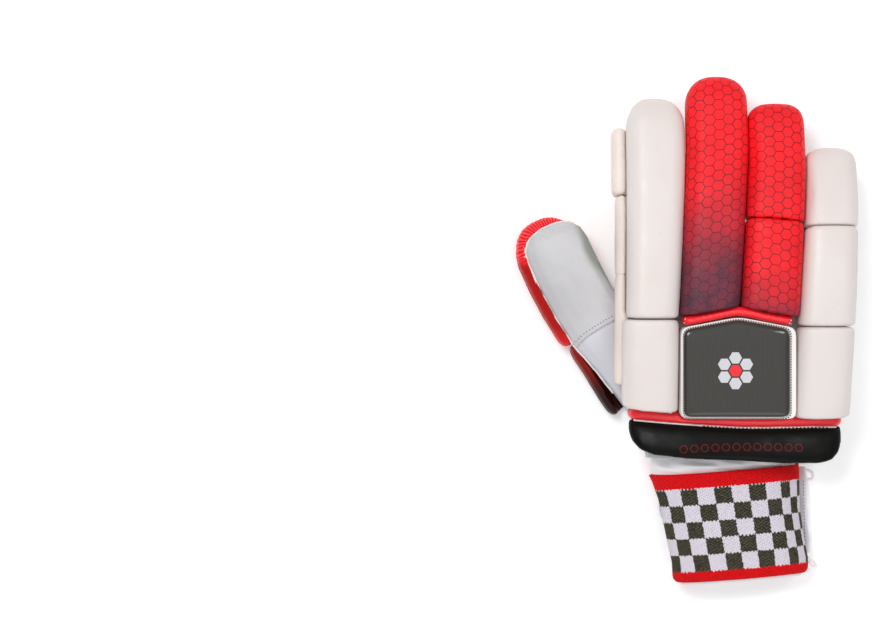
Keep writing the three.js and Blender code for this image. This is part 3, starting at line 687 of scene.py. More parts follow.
def knit_material(name, rows):
    """The band's knit: checks between two plain edges, with wales and courses. UV is in metres."""
    tones = colours()
    material, tree, shader = new_material(name, Roughness=0.85, IOR=1.3)
    where = place_of(tree)
    u, v, _ = parts_of(tree, node(tree, "ShaderNodeUVMap", uv_map="surface").outputs["UV"])
    wale = sizes().wale
    # Each wale steps its rows a little, which makes the edges of the checks jagged
    column = maths(tree, "FLOOR", maths(tree, "DIVIDE", u, wale))
    odd = maths(tree, "FLOORED_MODULO", column, 2.0)
    slip = add(tree, times(tree, odd, 0.5 * MM), times(tree, speckle(tree, where, 1.3 * MM, 2.0), 1.8 * MM))
    row_at = minus(tree, add(tree, v, slip), sizes().knit_edge)
    row = maths(tree, "FLOOR", maths(tree, "DIVIDE", row_at, sizes().check_height))
    swayed = add(tree, u, wander(tree, where, 1.2 * MM, 2.0, 2.0 * MM))
    across = maths(tree, "FLOOR", maths(tree, "DIVIDE", swayed, sizes().check_width))
    dark = maths(tree, "FLOORED_MODULO", add(tree, across, row), 2.0)
    zigzag = maths(tree, "PINGPONG", u, 1.7 * MM)
    chevron = times(tree, add(tree, v, zigzag), 2 * math.pi / (1.8 * MM))
    twill = ramp(tree, sine(tree, chevron), -0.4, 0.5)
    flecks = ramp(tree, speckle(tree, where, 1.0 * MM, 2.0), 0.38, 0.58, 0.2, 1.0)
    woven = times(tree, twill, flecks)
    light = blend(tree, times(tree, woven, 0.3), tones.light_check, tones.olive)
    checks = blend(tree, dark, light, blend(tree, woven, tones.dark_check, tones.olive))
    past = maths(tree, "GREATER_THAN", row, rows - 0.5)
    before = maths(tree, "LESS_THAN", row, -0.5)
    edge = maths(tree, "MAXIMUM", past, before)
    knit_red = blend(tree, times(tree, woven, 0.85), tones.knit_red, tones.knit_deep)
    base = blend(tree, edge, checks, knit_red)
    seam = unsigned(tree, minus(tree, row_at, rows * sizes().check_height))
    bits = times(tree, ramp(tree, seam, 0.2 * MM, 0.6 * MM, 1.0, 0.0), odd)
    base = blend(tree, times(tree, bits, 0.5), base, tones.cloth)
    ribs = unsigned(tree, sine(tree, times(tree, u, math.pi / wale)))
    shifted = add(tree, v, times(tree, odd, 0.35 * MM))
    courses = unsigned(tree, sine(tree, times(tree, shifted, math.pi / (0.8 * MM))))
    height = times(tree, ribs, add(tree, times(tree, courses, 0.7), 0.3))
    # Painted shade: the knit is darker where its ribs and courses are low
    depth = ramp(tree, height, 0.0, 0.55, 0.75, 1.0)
    shaded = node(tree, "ShaderNodeMix", {0: 1.0, 6: base, 7: depth}, data_type="RGBA", blend_type="MULTIPLY")
    plug(tree, shader, Base_Color=shaded.outputs[2], Normal=bump(tree, height, 0.22 * MM))
    return material


def panel_material(name, main):
    """Dark ribbed textile under a clear glossy window."""
    material, tree, shader = new_material(name, Roughness=0.6, Coat_Weight=0.8, Coat_Roughness=0.08, IOR=1.35)
    where = place_of(tree)
    x, y, _ = parts_of(tree, where)
    rib = unsigned(tree, sine(tree, times(tree, x, math.pi / (0.75 * MM))))
    weft = unsigned(tree, sine(tree, times(tree, y, math.pi / (0.6 * MM))))
    height = add(tree, rib, times(tree, weft, 0.35))
    streak = node(tree, "ShaderNodeMapping", {"Vector": where, "Scale": (1 / (0.9 * MM), 1 / (9 * MM), 1.0)})
    streaks = speckle(tree, streak.outputs["Vector"], 1.0)
    # Darker where the ribs are low, which is painted shade, and along random streaks
    share = ramp(tree, add(tree, height, streaks), 0.5, 1.8)
    plug(
        tree,
        shader,
        Base_Color=blend(tree, share, [0.55 * c for c in main[:3]] + [1], main),
        Normal=bump(tree, height, 0.06 * MM),
    )
    return material


def thumb_red_leather(name):
    """Red leather of the thumb: bright at the tip, dark along the side, nearly black at the wrist, with
    painted shade and painted highlights on the gathers at the tip.
    """
    tones = colours()
    material, tree, shader = new_material(name, IOR=1.3)
    where = place_of(tree)
    along = parts_of(tree, where)[1]
    ragged = add(tree, along, wander(tree, where, 6 * MM, 3.0, 7 * MM))
    side = blend(tree, ramp(tree, ragged, 24 * MM, 34 * MM), tones.thumb_red, tones.thumb_dark)
    side = blend(tree, ramp(tree, ragged, 68 * MM, 77 * MM), side, tones.roll)
    blackness = ramp(tree, ragged, -10 * MM, 16 * MM, 1.0, 0.0)
    below = blend(tree, blackness, tones.thumb_deep, tones.thumb_black)
    base = blend(tree, ramp(tree, along, 20.5 * MM, 22.5 * MM), below, side)
    rub = ramp(tree, speckle(tree, where, 4 * MM, 4.0, 0.65), 0.5, 0.75, 0.0, 0.25)
    base = blend(tree, rub, base, tones.thumb_deep)
    gathered = ramp(tree, ragged, 70 * MM, 79 * MM)
    centre = (THUMB_TIP.x * MM, THUMB_TIP.y * MM, 0)
    x, y, _ = parts_of(tree, vector_maths(tree, "SUBTRACT", where, centre))
    angle = maths(tree, "ARCTAN2", y, x)
    twist = times(tree, add(tree, x, y), 0.25 / MM)
    sway = times(tree, speckle(tree, where, 5 * MM, 2.0), 9.0)
    gather = sine(tree, add(tree, add(tree, times(tree, angle, 66.0), sway), twist))
    # Painted shade in the troughs of the gathers and a pinkish painted highlight on their crests
    gather_shade = times(tree, ramp(tree, gather, -1.0, 0.0, 0.6, 0.0), gathered)
    gather_highlight = times(tree, ramp(tree, gather, 0.6, 1.0, 0.0, 0.22), gathered)
    fine = grained(tree, where, sizes().grain * 0.8, 0.02 * MM)
    plug(
        tree,
        shader,
        Base_Color=blend(tree, gather_highlight, blend(tree, gather_shade, base, tones.thumb_dark), (1.0, 0.45, 0.45, 1)),
        Roughness=uneven_gloss(tree, where, 5 * MM, 0.36, 0.52),
        Normal=bump(tree, times(tree, gather, gathered), 0.1 * MM, fine),
    )
    return material


# Row of hexagons on the flare, in mm: its height across the cuff, its middle and half its length, the
# distance from one hexagon to the next, half a hexagon's width and the lowest z that takes the print

ROW_Y = -36.6
ROW_X = 3.1
ROW_HALF = 37.2
ROW_PITCH = 6.2
ROW_HEXAGON = 2.0
ROW_LOWEST = 33


def printed_black(name):
    """Black leather of the flare with a row of small hexagon outlines."""
    tones = colours()
    material = leather(name, tones.black, tones.dark_check, roughness=0.34, depth=0.01, dirt=0.05, ior=1.2)

    def row(tree, ground):
        x, y, z = parts_of(tree, place_of(tree))
        bow = times(tree, maths(tree, "POWER", unsigned(tree, minus(tree, x, 10 * MM)), 2.0), 0.9)
        v = unsigned(tree, minus(tree, add(tree, y, bow), ROW_Y * MM))
        u = unsigned(tree, maths(tree, "WRAP", x, -ROW_PITCH * MM / 2, ROW_PITCH * MM / 2))
        slanted = add(tree, times(tree, u, math.sqrt(3) / 2), times(tree, v, 0.5))
        ring = unsigned(tree, minus(tree, maths(tree, "MAXIMUM", v, slanted), ROW_HEXAGON * MM))
        line = ramp(tree, ring, 0.15 * MM, 0.4 * MM, 0.7, 0.0)
        span = maths(tree, "LESS_THAN", unsigned(tree, minus(tree, x, ROW_X * MM)), ROW_HALF * MM)
        above = maths(tree, "GREATER_THAN", z, ROW_LOWEST * MM)
        return blend(tree, times(tree, times(tree, line, span), above), ground, tones.flare_print)

    tint_over(material, row)
    return material


# Fingers: the same lines as the solids have, in mm. The growths make good what remeshing takes

HAND_THICKNESS = 38.0
TIP_BACK = 20.5
ARCH_START = 50.0
ARCH_POWER = 1.8
PLATE_FRONT = 40.6
PLATE_SLOPE = 0.189
PLATE_X = 0.4
HAND_BACK = [(-45, 30.0), (-29, 32.3), (-9.1, 35.3), (14.9, 37.4), (38.8, 38.0), (60, 37.8)]
PAD_WRAP = 7.0
PAD_EDGE = 4.5
PAD_SQUARENESS = 3.0
SIDE_GROWTH = 0.85
TOP_GROWTH = 0.35
END_GROWTH = 0.32
FINGERS = {
    "index": {"reach": 169.2, "width": 35.6, "narrow": 0.88, "lean": 0.0, "round": 19, "square": 2.3},
    "middle": {"reach": 182.4, "width": 35.0, "narrow": 0.98, "lean": 0.0, "round": 17, "square": 2.2},
    "ring": {"reach": 165.4, "width": 32.5, "narrow": 1.025, "lean": 0.0, "round": 14, "square": 2.8},
    "little": {"reach": 138.0, "width": 29.6, "narrow": 1.07, "lean": 0.05, "round": 11, "square": 2.8},
}
END_SIZES = [(0, 0.87), (0.3, 0.955), (1, 1)]
PAD_THICK = 20.5
PAD_THIN = 16.5
CUFF_ROOM = {"index_pad_base": 1.7, "little_pad_base": 2.1}
TIP_GAPS = {"index": 0.0, "middle": 2.4, "ring": 1.6, "little": 1.4}
KNUCKLE_GAP = 1.6


def lay_out_fingers():
    """Finds the middle of each finger's pads at the knuckles and at the tip."""
    knuckle, tip = -66.2, -65.2
    for name, finger in FINGERS.items():
        width = finger["width"] * finger["narrow"]
        finger["knuckle_x"] = knuckle + width / 2
        finger["tip_x"] = tip + TIP_GAPS[name] + finger["width"] / 2
        knuckle += width + KNUCKLE_GAP
        tip += TIP_GAPS[name] + finger["width"]


lay_out_fingers()
ROLL_ROOM = 5.8


def pad_start(name):
    """Where a finger's first pad starts, in front of the knuckle roll."""
    return PLATE_FRONT - PLATE_SLOPE * abs(FINGERS[name]["knuckle_x"] - PLATE_X) + ROLL_ROOM


# Each pad's finger, its start and stop along y, and the slant of its two ends

FINGER_PADS = {
    "index_pad_long": ("index", 39.2, 169.2, (0, 0)),
    "index_pad_base": ("index", -14.4, 38.4, (-0.115, 0)),
    "middle_pad": ("middle", pad_start("middle"), 182.4, (PLATE_SLOPE, 0)),
    "ring_pad_tip": ("ring", 96.0, 165.4, (-0.09, 0)),
    "ring_pad_base": ("ring", pad_start("ring"), 95.2, (-PLATE_SLOPE, -0.09)),
    "little_pad_tip": ("little", 91.4, 138.0, (0, 0)),
    "little_pad_middle": ("little", 35.1, 90.6, (0, 0)),
    "little_pad_base": ("little", -19.2, 34.3, (0.03, 0)),
}


def pad_middle(finger, y):
    share = (y - PLATE_FRONT) / (0.7 * (finger["reach"] - PLATE_FRONT))
    if share < 0:
        return finger["knuckle_x"] + finger["lean"] * (y - PLATE_FRONT)
    return mix(finger["knuckle_x"], finger["tip_x"], min(share, 1))


def pad_width(finger, y):
    share = clamp((y - PLATE_FRONT) / (0.7 * (finger["reach"] - PLATE_FRONT)))
    return finger["width"] * mix(finger["narrow"], 1, share)


def finger_back(finger, y):
    bend = max((y - ARCH_START) / (finger["reach"] - ARCH_START), 0)
    straight = interpolate(HAND_BACK, min(y, ARCH_START))
    return straight - (HAND_THICKNESS - TIP_BACK) * bend**ARCH_POWER


class PadShape:
    """The plain shape of a finger's pad: rounded sections along the finger."""

    def __init__(self, pad):
        name, self.start, self.stop, self.slants = FINGER_PADS[pad]
        self.finger = FINGERS[name]
        self.tip = self.stop == self.finger["reach"]
        self.lift = CUFF_ROOM.get(pad, 0)
        self.slim = 2.6 if pad == "index_pad_long" else 0.0
        self.run = self.top_run()
        self.arc = self.section_arc()

    def size(self, y):
        """Section's size at y as a share of the full one, where the pad rounds off at its ends."""
        rise = (y - self.start) / PAD_EDGE
        fall = (self.stop - y) / (self.finger["round"] if self.tip else PAD_EDGE)
        size = 1.0
        if rise < 1:
            size = min(size, interpolate(END_SIZES, rise))
        if fall < 1 and self.tip:
            power = self.finger["square"]
            size = max((1 - (1 - max(fall, 0.004)) ** power), 0.0001) ** (1 / power)
        elif fall < 1:
            size = min(size, interpolate(END_SIZES, fall))
        return size

    def half_sizes(self, y):
        reached = clamp((y - ARCH_START) / (self.finger["reach"] - ARCH_START))
        thickness = mix(PAD_THICK, PAD_THIN, reached)
        return pad_width(self.finger, y) / 2, (thickness + PAD_WRAP) / 2, (thickness - PAD_WRAP) / 2

    def slope(self, y):
        return math.atan(finger_back(self.finger, y + 0.5) - finger_back(self.finger, y - 0.5))

    def locate(self, point):
        """A point's y along the pad, and its place across and up in the section there, in mm."""
        x, y, z = (c / MM for c in point)
        at = y
        for _ in range(12):
            slope = self.slope(at)
            across = x - pad_middle(self.finger, at)
            share = clamp((at - self.start) / (self.stop - self.start))
            run = mix(*self.slants, share) * across
            out = (z - finger_back(self.finger, at) - math.sin(slope) * run) / math.cos(slope)
            at = mix(at, y - run + math.sin(slope) * out, 0.75)
        return at, across, out - self.half_sizes(at)[2], slope, run

    def place(self, at, across, up, slope, run):
        """The point that has this place in the section at y, in metres."""
        out = up + self.half_sizes(at)[2]
        x = pad_middle(self.finger, at) + across
        y = at + run - math.sin(slope) * out
        z = finger_back(self.finger, at) + math.cos(slope) * out + math.sin(slope) * run
        return Vector((x, y, max(z, 0))) * MM

    def fuller(self, y):
        """Section's size at y where the sewn ends keep tighter corners than the plain shape has."""
        gap = min(y - self.start, math.inf if self.tip else self.stop - y)
        tight = 1 - 0.07 * (1 - clamp(gap / 2.2)) ** 2
        return max(self.size(y), tight) if gap < PAD_EDGE else self.size(y)

    def fitted(self, point, _normal):
        """Moves a point near the rounded outside onto it, and the sewn ends close to their neighbours."""
        at, across, up, slope, run = self.locate(point)
        half_width, half_height, _ = self.half_sizes(at)
        sides = abs(across / half_width) ** PAD_SQUARENESS + abs(up / half_height) ** PAD_SQUARENESS
        radius = sides ** (1 / PAD_SQUARENESS)
        beside = self.start - 0.5 < at < self.stop + 0.5
        share = smoothstep(0.9, 0.95, radius / self.size(at)) if beside else 0
        grow = mix(1, self.fuller(at) / max(radius, 0.01), share)
        grown_across = across * grow * (1 + SIDE_GROWTH / half_width)
        grown_up = up * grow + TOP_GROWTH * clamp(up / half_height)
        at -= END_GROWTH * (1 - clamp((at - self.start) / 1.5))
        at += self.lift * (1 - clamp((at - self.start) / 14))
        grown_across += self.slim * smoothstep(0, 1, -across / half_width)
        if not self.tip:
            at += END_GROWTH * (1 - clamp((self.stop - at) / 1.5))
        return self.place(at, grown_across, grown_up, slope, run)

    def top_run(self):
        """Distance along the top from the pad's start, for each mm of y."""
        rows, last, total = [], None, 0.0
        for i in range(int(self.stop - self.start) * 2 + 1):
            at = self.start + i / 2
            _, half_height, raised = self.half_sizes(at)
            out = raised + half_height * self.size(at)
            slope = self.slope(at)
            top = Vector((at - math.sin(slope) * out, finger_back(self.finger, at) + math.cos(slope) * out))
            if last is not None:
                total += (top - last).length
            last = top
            rows.append((at, total))
        return rows

    def section_arc(self):
        """Distance around a section from its top, as a table by the angle that makes the section."""
        half_width, half_height, _ = self.half_sizes((self.start + self.stop) / 2)
        rows, last, total = [], None, 0.0
        for i in range(61):
            angle = math.pi * i / 60
            x = half_width * abs(math.sin(angle)) ** (2 / PAD_SQUARENESS)
            up = half_height * math.copysign(abs(math.cos(angle)) ** (2 / PAD_SQUARENESS), math.cos(angle))
            point = Vector((x, up))
            if last is not None:
                total += (point - last).length
            last = point
            rows.append((angle, total))
        return rows

    def surface_place(self, point):
        """Distances around and along the pad at a point, in metres."""
        at, across, up, _, _ = self.locate(point)
        half_width, half_height, _ = self.half_sizes(at)
        angle = math.atan2(
            abs(across / half_width) ** (PAD_SQUARENESS / 2),
            math.copysign(abs(up / half_height) ** (PAD_SQUARENESS / 2), up),
        )
        around = math.copysign(interpolate(self.arc, angle), across)
        index = clamp((at - self.start) * 2, 0, len(self.run) - 1.001)
        low = int(index)
        along = mix(self.run[low][1], self.run[low + 1][1], index - low)
        return around * MM, along * MM


def map_pad(obj, shape):
    """Writes the distances around and along a pad as its UV map."""
    layer = obj.data.uv_layers.new(name="surface")
    around = 2 * shape.arc[-1][1] * MM
    places = [shape.surface_place(v.co) for v in obj.data.vertices]
    for face in obj.data.polygons:
        first = places[face.vertices[0]][0]
        for corner in face.loop_indices:
            u, v = places[obj.data.loops[corner].vertex_index]
            if u - first > around / 2:
                u -= around
            elif first - u > around / 2:
                u += around
            layer.data[corner].uv = (u, v)


# Operators

STEPS = []


def step(cls):
    """Lists an operator in the order of making."""
    STEPS.append(cls)
    return cls


def grid(name, across, along):
    """A flat grid of faces, one wide and one long, with its own UV map."""
    bpy.ops.object.select_all(action="DESELECT")
    bpy.ops.mesh.primitive_grid_add(x_subdivisions=across, y_subdivisions=along, size=1, calc_uvs=True)
    obj = bpy.context.object
    obj.name = name
    obj.data.uv_layers[0].name = "surface"
    return obj


# Area lights: name, place, width in metres and power in watts

LIGHTS = [
    ("key", (-0.55, 0.6, 1.35), 0.5, 9.5),
    ("second", (0.6, 0.65, 1.3), 0.3, 3),
    ("overhead", (0.05, 0.0, 1.5), 2.2, 6),
    ("rim", (0.1, -1.0, 0.9), 1.0, 4),
]
LIGHTS_AIM = Vector((-0.03, 0.03, 0.03))
CAMERA_PLACE = (-0.1762, 0.0432, 1.265)


@step
class GLOVE_OT_stage(bpy.types.Operator):
    """Lays the floor, sets soft light and the camera"""

    bl_idname = "glove.stage"
    bl_label = "Stage"

    def execute(self, context):
        scene = context.scene
        bpy.ops.object.select_all(action="DESELECT")
        bpy.ops.mesh.primitive_grid_add(x_subdivisions=8, y_subdivisions=8, size=6)
        floor = bpy.context.object
        floor.name = "floor"
        material, tree, shader = new_material("plain_floor", Roughness=0.7, Emission_Strength=0.16)
        tint = ramp(tree, speckle(tree, place_of(tree), 0.6, 2.0), 0.3, 0.7, 0.0, 0.03)
        plug(tree, shader, Base_Color=blend(tree, tint, colours().floor, (0.7, 0.7, 0.7, 1)))
        floor.data.materials.append(material)
        world = bpy.data.worlds.new("soft_room")
        world.use_nodes = True
        background = world.node_tree.nodes["Background"]
        background.inputs["Color"].default_value = (0.96, 0.98, 1.0, 1)
        background.inputs["Strength"].default_value = 0.38
        scene.world = world
        for name, place, size, power in LIGHTS:
            light = bpy.data.lights.new(name, "AREA")
            light.size = size
            light.energy = power
            lamp = new_object(name, light)
            lamp.location = place
            aim = LIGHTS_AIM - Vector(place)
            lamp.rotation_euler = aim.to_track_quat("-Z", "Y").to_euler()
        scene.view_settings.view_transform = "Standard"
        data = bpy.data.cameras.new("camera")
        data.lens = 85
        data.sensor_width = 36
        camera = new_object("camera", data)
        camera.location = CAMERA_PLACE
        scene.camera = camera
        return {"FINISHED"}


@step
class GLOVE_OT_palm(bpy.types.Operator):
    """Makes the leather of the hand and of the four fingers"""

    bl_idname = "glove.palm"
    bl_label = "Hand and fingers"

    def execute(self, context):
        tones = colours()
        material = leather("soft_leather", tones.palm, tones.palm_shade, roughness=0.55, depth=0.03)

        # Painted shade: leather that lies under the pads is darkened to the gap colour, which shows in the
        # narrow gaps between them
        def paint_gap_shade(tree, ground):
            return blend(tree, attribute(tree, "painted_shade_between_pads"), ground, tones.gap)

        tint_over(material, paint_gap_shade)
        for node_name in ("hand_shell", "index_stall", "middle_stall", "ring_stall", "little_stall"):
            hand = node_name == "hand_shell"
            piece = softened(node_name, f"{node_name}_leather", 0.95 if hand else 0.9, 4, 0.25)
            if not hand:
                rear = min(v.co.y for v in piece.data.vertices) / MM
                move_points(piece, lambda place, normal: self.sewn_in(place, normal, rear))
            move_points(piece, self.creased)
            thin_out(piece, 0.5)
            shade_smooth(piece)
            # Mask of the painted shade: upward-facing leather that lies under the pads
            shade = piece.data.attributes.new("painted_shade_between_pads", "FLOAT", "POINT")
            for i, vertex in enumerate(piece.data.vertices):
                _, y, z = vertex.co / MM
                covered = smoothstep(46, 52, y) * smoothstep(26, 30, z) if hand else smoothstep(12, 16, z)
                shade.data[i].value = 0.95 * covered * smoothstep(0.3, 0.7, vertex.normal.z)
            dress(piece, material, "palm_leather", node_name)
        for name in ("index_stall", "middle_stall", "ring_stall", "little_stall"):
            finger = surface(bpy.data.objects[f"{name}_leather"])
            move_points(bpy.data.objects["hand_shell_leather"], self.drawn_to(finger))
        return {"FINISHED"}

    @staticmethod
    def sewn_in(place, normal, rear):
        """Slips a finger's rear end under the leather of the hand."""
        share = smoothstep(rear + 16, rear + 3, place.y / MM)
        return place + (Vector((0, -4, 0)) - normal * 0.45) * share * MM

    @staticmethod
    def drawn_to(finger):
        """Draws the edge of the hand's opening onto the finger that comes out of it."""

        def move(place, normal):
            nearest, _, _, gap = finger.find_nearest(place)
            return place.lerp(nearest, 1.3 * smoothstep(2.6, 0.9, gap / MM))

        return move

    @staticmethod
    def creased(place, normal):
        wave = noise.fractal(place * 90, 0.6, 2.0, 3)
        return place + normal * (0.22 * MM * wave)


@step
class GLOVE_OT_finger_pads(bpy.types.Operator):
    """Makes the padded rolls on the backs of the fingers"""

    bl_idname = "glove.finger_pads"
    bl_label = "Finger pads"

    def execute(self, context):
        tones = colours()
        cream = leather("cream_leather", tones.cream, tones.cream_shade, roughness=0.42, depth=0.012)
        plain = printed_leather("printed_leather", tones.red)
        faded = printed_leather("faded_leather", tones.red, fade=(0.014, 0.09))
        ring_base = printed_leather("printed_leather_base", tones.red, fade=(-0.02, 0.034))
        finish = {"middle_pad": faded, "ring_pad_tip": plain, "ring_pad_base": ring_base}
        for name in FINGER_PADS:
            pad = copy_of(name, f"{name}_foam")
            shape = PadShape(name)
            remesh(pad, 1.5)
            move_points(pad, shape.fitted)
            relax(pad, 3)
            swell(pad, 0.15, sizes().puff / MM)
            subdivide(pad)
            shade_smooth(pad)
            if name in finish:
                map_pad(pad, shape)
            slot = "red_leather" if name in finish else "cream_leather"
            dress(pad, finish.get(name, cream), slot, name)
        return {"FINISHED"}


@step
class GLOVE_OT_guards(bpy.types.Operator):
    """Makes the three bars beside the index finger"""

    bl_idname = "glove.guards"
    bl_label = "Index guards"

    def execute(self, context):
        tones = colours()
        cream = leather("gusset_leather", tones.gusset, tones.cream_shade, roughness=0.5, depth=0.012)
        for name in ("index_guard_tip", "index_guard_middle", "index_guard_base"):
            bar = softened(name, f"{name}_foam", 1.4, 3, 0.3)
            if name == "index_guard_base":
                move_points(bar, self.tucked)
            move_points(bar, lambda p, n: p + Vector((3.2 * smoothstep(-67, -60, p.x / MM), 0, 0)) * MM)
            swell(bar, 0.1, 0.5)
            subdivide(bar)
            shade_smooth(bar)
            dress(bar, cream, "cream_leather", name)
        return {"FINISHED"}

    @staticmethod
    def tucked(place, normal):
        """Flattens the bar's outer side and slips its front end under the next bar."""
        x, y, z = place / MM
        if x < -67:
            x = -67 + (x + 67) * 0.6
        y += 2.2 * smoothstep(48, 63, y)
        return Vector((x, y, z)) * MM


# Thumb, in mm: its middle line, the seam across it and the crease at its inner side

THUMB_LINE = [(-43, -5), (-62, 18), (-79.5, 36.5), (-94.6, 61), (-109.9, 94.2)]
THUMB_TIP = Vector((-105.5, 83))
THUMB_SEAM = [(-96, 15.5), (-92.7, 20.8), (-88, 26.8), (-80.5, 32.1), (-71.2, 37.5), (-62, 42.5)]
THUMB_CREASE = [(-89, 76), (-77.2, 64.4), (-72, 60)]
# Line beside which the thumb's inner side takes its painted shade
THUMB_INNER = [(-95, 97), (-91.5, 88), (-89.5, 79), (-85, 71), (-77.2, 63.5), (-68, 57)]
FRAYED = (60, 86)


def plane_line(points, steps=6):
    return spline([Vector(p) for p in points], steps)


def line_distance(point, line):
    """A point's distance from a line of corners, above nought on its left, and its share of the way along."""
    best, side, share = math.inf, 1, 0
    for i, (a, b) in enumerate(zip(line, line[1:])):
        along = b - a
        t = clamp((point - a).dot(along) / along.length_squared)
        away = point - (a + along * t)
        if away.length < best:
            best = away.length
            side = 1 if along.x * away.y - along.y * away.x > 0 else -1
            share = (i + t) / (len(line) - 1)
    return best * side, share


def leather_edge(stall, pad, origin, heading):
    """Where the leather stops lying over the pad, on the way out from a point, both as surfaces."""
    edge = None
    for i in range(90):
        spot = (origin + heading * (8 + 0.25 * i)) * MM
        leather_top = drop(stall, spot.x, spot.y)[0].z
        if leather_top > drop(pad, spot.x, spot.y)[0].z:
            spot += heading * 0.25 * MM
            edge = Vector((spot.x, spot.y, leather_top))
        elif edge is not None:
            break
    return edge


@step
class GLOVE_OT_thumb(bpy.types.Operator):
    """Makes the thumb's leather with its seam and stitches, its red pads and their binding"""

    bl_idname = "glove.thumb"
    bl_label = "Thumb"

    def execute(self, context):
        tones = colours()
        stall = softened("thumb_stall", "thumb_stall_leather", 0.9, 3, 0.15)
        seam = plane_line(THUMB_SEAM)
        crease = plane_line(THUMB_CREASE)

        def sewn_and_creased(place, normal):
            if normal.z < 0.1:
                return place.copy()
            spot = Vector((place.x, place.y)) / MM
            off, _ = line_distance(spot, seam)
            step_up = 0.7 * bell(off / 3.4) if off > 0 else -0.5 * bell(off / 1.6)
            off, share = line_distance(spot, crease)
            fold = -0.8 * bell(off / 2.2) * math.sin(math.pi * clamp(share, 0.05, 0.95))
            dent = 1.1 * noise.noise(Vector((spot.x, spot.y, 3)) / 17)
            return place + normal * (step_up + fold + dent) * clamp(normal.z) * MM

        move_points(stall, sewn_and_creased)
        shade_smooth(stall)
        inner = plane_line(THUMB_INNER)
        below = stall.data.attributes.new("below_seam", "FLOAT", "POINT")
        beside = stall.data.attributes.new("painted_inner_shade", "FLOAT", "POINT")
        for i, vertex in enumerate(stall.data.vertices):
            spot = vertex.co.to_2d() / MM
            below.data[i].value = smoothstep(0.3, -0.5, line_distance(spot, seam)[0])
            # Mask of the painted shade and painted reflection at the thumb's inner side
            off, share = line_distance(spot, inner)
            beside.data[i].value = 0.9 * smoothstep(-1.5, 4, off) * smoothstep(1, 0.8, share)
        dress(stall, thumb_leather("thumb_face_leather"), "palm_leather", "thumb_stall")

        red = thumb_red_leather("thumb_red_leather")
        pads = []
        for name, voxel in (("thumb_pad_tip", 1.2), ("thumb_pad_base", 1.4)):
            pad = softened(name, f"{name}_foam", voxel, 3)
            swell(pad, 0.3, 0.5)
            subdivide(pad)
            move_points(pad, self.gathered if name == "thumb_pad_tip" else self.drawn_out)
            shade_smooth(pad)
            dress(pad, red, "thumb_leather", name)
            pads.append(pad)

        top = surface(stall)
        foam = surface(*pads)
        line = plane_line(THUMB_LINE, 10)
        edge = []
        for i, (a, b) in enumerate(zip(line, line[1:])):
            if 4 < i < 34:
                heading = (b - a).normalized()
                edge.append(leather_edge(top, foam, a, Vector((-heading.y, heading.x))))
        for angle in range(204, 46, -6):
            turn = math.radians(angle)
            edge.append(leather_edge(top, foam, THUMB_TIP, Vector((math.cos(turn), math.sin(turn)))))
        edge = spline([p for p in edge if p is not None], 3)
        edge = [(a + b + c) / 3 for a, b, c in zip(edge, edge[1:], edge[2:])]
        cloth = thread_material("binding_cloth", tones.piping)
        binding = tube("thumb_binding", edge, 0.62 * MM)
        dress(binding, cloth, "thumb_leather")
        rng = random.Random(7)
        torn = [p for p in edge if FRAYED[0] * MM < p.y < FRAYED[1] * MM and p.x < THUMB_TIP.x * MM]
        cords = []
        for radius in (0.95, 0.6):
            points = []
            for point in torn:
                wobble = Vector((rng.uniform(-1, 1), rng.uniform(-1, 1), rng.uniform(-0.2, 1)))
                points.append(point + wobble * 0.42 * MM + Vector((0.2, 0, 0.2)) * MM)
            cords.append(tube("thumb_frayed_edge", points, radius * MM))
        dress(join("thumb_frayed_edge", cords), cloth, "thumb_leather")

        light = thread_material("light_thread", tones.thread)
        places, marks = [], []
        for point, along in lerp_path([p.to_3d() * MM for p in seam], sizes().thumb_pitch):
            spot = point + Vector((-along.y, along.x, 0)) * 2.6 * MM
            place, normal = drop(top, spot.x, spot.y)
            if place.z > 4 * MM:
                places.append((place + normal * 0.05 * MM, along, normal))
        dots = stitches("thumb_seam_stitches", places, 0.9 * MM, 0.6 * MM)
        dress(dots, thread_material("grey_thread", (0.06, 0.06, 0.08, 1)), "palm_leather")
        # A dark line along the seam, laid a little below the surface: partly the seam itself, partly painted
        # shade of the step where the upper leather overlaps the lower
        for point, _ in lerp_path([p.to_3d() * MM for p in seam], 1.2 * MM):
            place, normal = drop(top, point.x, point.y)
            if place.z > 4 * MM:
                marks.append(place - normal * 0.05 * MM)
        fold = tube("thumb_seam_shade_line", marks, 0.28 * MM)
        folded = leather("seam_shade_leather", tones.palm_shade, (0.16, 0.16, 0.2, 1), dirt=0.8)
        dress(fold, folded, "palm_leather")

        loose = []
        for i in range(16):
            start = torn[int(rng.uniform(0.1, 0.9) * len(torn))]
            heading = Vector((rng.uniform(-1, 1), rng.uniform(-1, 0.6), rng.uniform(0.0, 0.5))) * 1.3 * MM
            bend = Vector((rng.uniform(-1, 1), rng.uniform(-1, 1), rng.uniform(-0.6, 0.2))) * 1.0 * MM
            points = [start + Vector((0, 0, 0.4 * MM)), start + heading, start + heading * 1.7 + bend]
            loose.append(tube("thumb_loose_threads", spline(points, 4), 0.13 * MM, sides=1))
        dress(join("thumb_loose_threads", loose), light, "thumb_leather")
        return {"FINISHED"}

    @staticmethod
    def drawn_out(place, normal):
        """Draws the wrist end of the lower pad out beside the hand and squares it."""
        share = smoothstep(20, -8, place.y / MM)
        return place + Vector((0.5, -8.2, 0)) * share * MM

